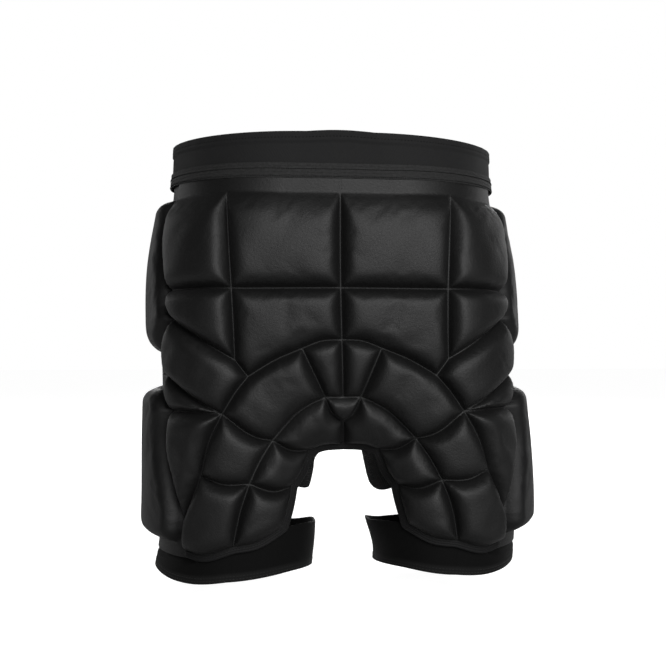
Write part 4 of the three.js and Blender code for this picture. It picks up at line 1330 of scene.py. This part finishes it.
stitches = stitch_group()
sockets = {s.name: s.identifier for s in stitches.interface.items_tree if s.in_out == "INPUT"}
print("stitch inputs:", sorted(sockets))

# %% [markdown]
# A seam follows its cloth closely. A curve object could carry it,
# but a mesh of loose edges comes straight from the functions that place the cloth.
# The nodes' result is kept as a plain mesh, so that it can be counted and exported.

# %% Laying stitches along lines of places
STITCHES = {  # step, length, thickness and slant, in mm and radians
    "waist_hem": (2.6, 1.5, 0.7, 0), "tape": (1.7, 1.7, 0.55, 0.6), "cover": (1.2, 1.3, 0.36, 0),
    "leg_hem": (2.6, 1.9, 0.42, 0), "binding": (2.3, 1.6, 0.42, 0), "yoke": (2.0, 1.5, 0.4, 0),
}


def line_mesh(name, lines, closed):
    mesh = bpy.data.meshes.new(name)
    places, edges = [], []
    for line in lines:
        first = len(places)
        places.extend((as_worn(line) / 1000).tolist())
        edges.extend((first + i, first + i + 1) for i in range(len(line) - 1))
        if closed:
            edges.append((len(places) - 1, first))
    mesh.from_pydata(places, edges, [])
    return mesh


def sew(name, lines, closed, kind):
    """A seam of one kind of stitch along some lines of places."""
    step, length, thickness, slant = STITCHES[kind]
    holder = bpy.data.objects.new(name, line_mesh(name + "_lines", lines, closed))
    bpy.context.collection.objects.link(holder)
    modifier = holder.modifiers.new("stitches", "NODES")
    modifier.node_group = stitches
    for key, value in (("Step", step), ("Length", length), ("Thickness", thickness)):
        modifier[sockets[key]] = value / 1000
    modifier[sockets["Slant"]] = float(slant)
    modifier[sockets["Thread"]] = materials["thread"]
    graph = bpy.context.evaluated_depsgraph_get()
    made = bpy.data.meshes.new_from_object(holder.evaluated_get(graph))
    holder.modifiers.clear()
    old = holder.data
    holder.data = made
    bpy.data.meshes.remove(old)
    made.shade_smooth()
    return holder


print("kinds of stitch:", sorted(STITCHES))

# %% [markdown]
# One row holds the waist hem. The tape has two slanting rows and two wavy cover rows.
# A texture of seams could be laid on the cloth, but would look flat at a glancing angle.

# %% Stitches of the waist
STITCH_LIFT = 0.6
TAPE_ROWS = (TAPE_HIGH - 4.5, TAPE_LOW + 1)
COVER_ROWS = ((-13.6, 0.45), (-19.4, 0.1))
COVER_WAVE = 0.5


def trunk_line(z_at, out, count=560):
    share = np.arange(count) / count
    return lifted(trunk_surface, share, z_at(share), np.full(count, float(out)), du=1e-3)


hem_out = WAIST_OUT + WAIST_THICK / 2 + STITCH_LIFT
hem_seam = sew(
    "waist_hem_stitches",
    [trunk_line(lambda s: waist_top(s) - HEM_ROW, hem_out)], True, "waist_hem")
tape_out = GROOVE + 0.9
tape_seam = sew(
    "tape_stitches",
    [trunk_line(lambda s, z=z: z + 0 * s, tape_out) for z in TAPE_ROWS], True, "tape")
zigzag = sew(
    "tape_cover_stitches",
    [trunk_line(lambda s, z=z: z + COVER_WAVE * np.sin(s * 1400), tape_out - d, 2600)
     for z, d in COVER_ROWS], True, "cover")
print("waist stitches, vertices:", [len(s.data.vertices) for s in (hem_seam, tape_seam, zigzag)])

# %% [markdown]
# A leg hem has two rows, and so has each binding.
# The panel's centre seam shows on the yoke as two short rows.
# They could be copies of one row, but each has its own slanting edge to follow.

# %% Stitches of the leg bands, bindings and yoke
BINDING_ROWS = (1.4, 3.05)
YOKE_ROWS = (-0.8, 0.8)


def leg_line(sign, above_low, out, count=420):
    degrees = np.arange(count) * 360.0 / count
    z = through(BAND[:, 0], BAND[:, 2], degrees) + above_low
    out = np.full(count, float(sign * out))
    return lifted(leg_surface(sign), np.radians(degrees), z, out, du=1e-2)


leg_seams = {
    s: sew(f"leg_hem_stitches_{n}", [leg_line(s, d, 1.05) for d in BAND_HEM_ROWS], True, "leg_hem")
    for s, n in SIDES.items()
}


def binding_lines(surface, plan, hem):
    line, _ = hem_line(plan, hem)
    normals = soft_normals(line, 2)
    lines = []
    for across in BINDING_ROWS:
        at = line + normals * (GAP + across)
        out = np.full(len(at), OVER_LOW + 1.6)
        lines.append(lifted(surface, at[:, 0], at[:, 1], out))
    return lines


front_seam = sew(
    "front_binding_stitches", binding_lines(front_surface, FRONT, FRONT_HEM), False, "binding")
back_seam = sew(
    "back_binding_stitches", binding_lines(back_surface, BACK, BACK_HEM), False, "binding")
yoke_z = np.linspace(TAPE_LOW - 0.5, -30.5, 12)
yoke_lines = [
    lifted(front_surface, np.full(12, u), yoke_z, np.full(12, GROOVE + 0.05)) for u in YOKE_ROWS]
yoke_seam = sew("yoke_seam_stitches", yoke_lines, False, "yoke")
print("stitches:", sum(len(o.data.vertices) for o in bpy.data.objects if "stitches" in o.name))

# %% [markdown]
# ## Dressing the solids
#
# The shorts have no hard joint, so all the cloth rides on one rigid body.
# Bones could let it bend, but nothing hard moves on the real object.
# Each piece stands for the solid that it covers.

# %% Riding and replacing
worn = []


def wear(piece, solid, material):
    worn.append(piece.name)
    piece.data.materials.clear()
    piece.data.materials.append(materials[material])
    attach(piece, "root")
    if solid:
        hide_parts(solid)


def spread_out(piece):
    """The width and length that a sheet was cut to, read from its map."""
    flat = np.empty(len(piece.data.loops) * 2, dtype=np.float32)
    piece.data.uv_layers["cloth"].data.foreach_get("uv", flat)
    flat = flat.reshape(-1, 2)
    size = flat.max(0) - flat.min(0)
    return tuple(float(v) for v in size)


def declare_sheet(piece):
    width, length = spread_out(piece)


for pad, solid in ((front_panel, "front_pad"), (back_panel, "back_pad")):
    wear(pad, solid, "panel_cloth")
for sign, side in SIDES.items():
    wear(hip_pads[sign], f"hip_pad_{side}", "side_cloth")
    wear(thigh_pads[sign], f"thigh_pad_{side}", "side_cloth")
    wear(leg_bands[sign], f"leg_band_{side}", "band_elastic")
    wear(leg_seams[sign], None, "thread")
    declare_sheet(leg_bands[sign])
wear(waistband, "waistband", "elastic")
wear(tape, "waist_tape", "tape")
wear(front_binding, "front_binding", "binding_knit")
wear(back_binding, "back_binding", "binding_knit")
wear(gusset, "crotch_gusset", "netting")
for seam in (zigzag, front_seam, back_seam, yoke_seam):
    wear(seam, None, "thread")
for seam in (hem_seam, tape_seam):
    wear(seam, None, "band_elastic")
declare_sheet(waistband)
declare_sheet(tape)
declare_sheet(gusset)
print("cloth pieces:", len(worn))

# %% [markdown]
# ## Studio
#
# The photograph shows the shorts on plain white.
# A lit white room could do this, but it would wash out the black cloth.
# So world and floor look white to the camera alone, and give little light.

# %% Floor and surroundings
FLOOR_HEIGHT = -0.3515
FLOOR_GREY = 0.35
FLOOR_GLOW = (0.05, 0.97)
WORLD_LIGHT = 0.03
WORLD_SEEN = 1.0


def make_floor():
    bpy.ops.mesh.primitive_plane_add(size=12, location=(0, 0, FLOOR_HEIGHT))
    floor = bpy.context.object
    floor.name = "floor"
    pale = bpy.data.materials.new("floor_pale")
    pale.use_nodes = True
    into_shader(pale, "Base Color").default_value = (FLOOR_GREY, FLOOR_GREY, FLOOR_GREY, 1)
    into_shader(pale, "Roughness").default_value = 0.9
    into_shader(pale, "Emission Color").default_value = (1, 1, 1, 1)
    path = node(pale, "ShaderNodeLightPath")
    vary(pale, "Emission Strength", path.outputs["Is Camera Ray"], *FLOOR_GLOW)
    floor.data.materials.append(pale)
    return floor


def make_surroundings():
    world = bpy.data.worlds.new("studio")
    world.use_nodes = True
    nodes, links = world.node_tree.nodes, world.node_tree.links
    dim, out = nodes["Background"], nodes["World Output"]
    seen = nodes.new("ShaderNodeBackground")
    for background, strength in ((dim, WORLD_LIGHT), (seen, WORLD_SEEN)):
        background.inputs["Color"].default_value = (1, 1, 1, 1)
        background.inputs["Strength"].default_value = strength
    choose, path = nodes.new("ShaderNodeMixShader"), nodes.new("ShaderNodeLightPath")
    links.new(path.outputs["Is Camera Ray"], choose.inputs["Fac"])
    links.new(dim.outputs["Background"], choose.inputs[1])
    links.new(seen.outputs["Background"], choose.inputs[2])
    links.new(choose.outputs["Shader"], out.inputs["Surface"])
    bpy.context.scene.world = world

# %% [markdown]
# The light in the photograph is soft and comes from the front, a little above and to one side.
# Several small lamps could give it, but one large lamp keeps the grooves dark.
# Lamps behind light the other views. The camera has the photograph's angle.

# %% Lights and camera
VIEW_AZIMUTH = math.radians(-4.05)
VIEW_HEIGHT = -0.139
LENS = 64.74
TARGET = (0, 0, -0.15)
LAMPS = {  # place, size, power
    "key": ((0.45, -1.85, 0.6), 1.4, 34),
    "back": ((0.2, 2.2, 0.9), 1.6, 60),
    "left": ((2.0, 1.7, 0.5), 1.2, 9),
    "right": ((-2.0, 1.7, 0.5), 1.2, 7),
}


def soft_light(name, place, size, power):
    light = bpy.data.lights.new(name, "AREA")
    light.shape = "SQUARE"
    light.size = size
    light.energy = power
    lamp = bpy.data.objects.new(name, light)
    bpy.context.collection.objects.link(lamp)
    lamp.location = place
    way = Vector(TARGET) - lamp.location
    lamp.rotation_euler = way.to_track_quat("-Z", "Y").to_euler()
    return lamp


def make_camera():
    data = bpy.data.cameras.new("camera")
    data.lens = LENS
    data.sensor_width = 36
    camera = bpy.data.objects.new("camera", data)
    bpy.context.collection.objects.link(camera)
    camera.location = (math.sin(VIEW_AZIMUTH), -math.cos(VIEW_AZIMUTH), VIEW_HEIGHT)
    camera.rotation_euler = (math.radians(90), 0, VIEW_AZIMUTH)
    bpy.context.scene.camera = camera
    return camera


make_surroundings()
bpy.context.scene.view_settings.view_transform = "Standard"
lights = [soft_light(name, *given) for name, given in LAMPS.items()]
make_floor()
make_camera()
print("lamps:", sorted(LAMPS))
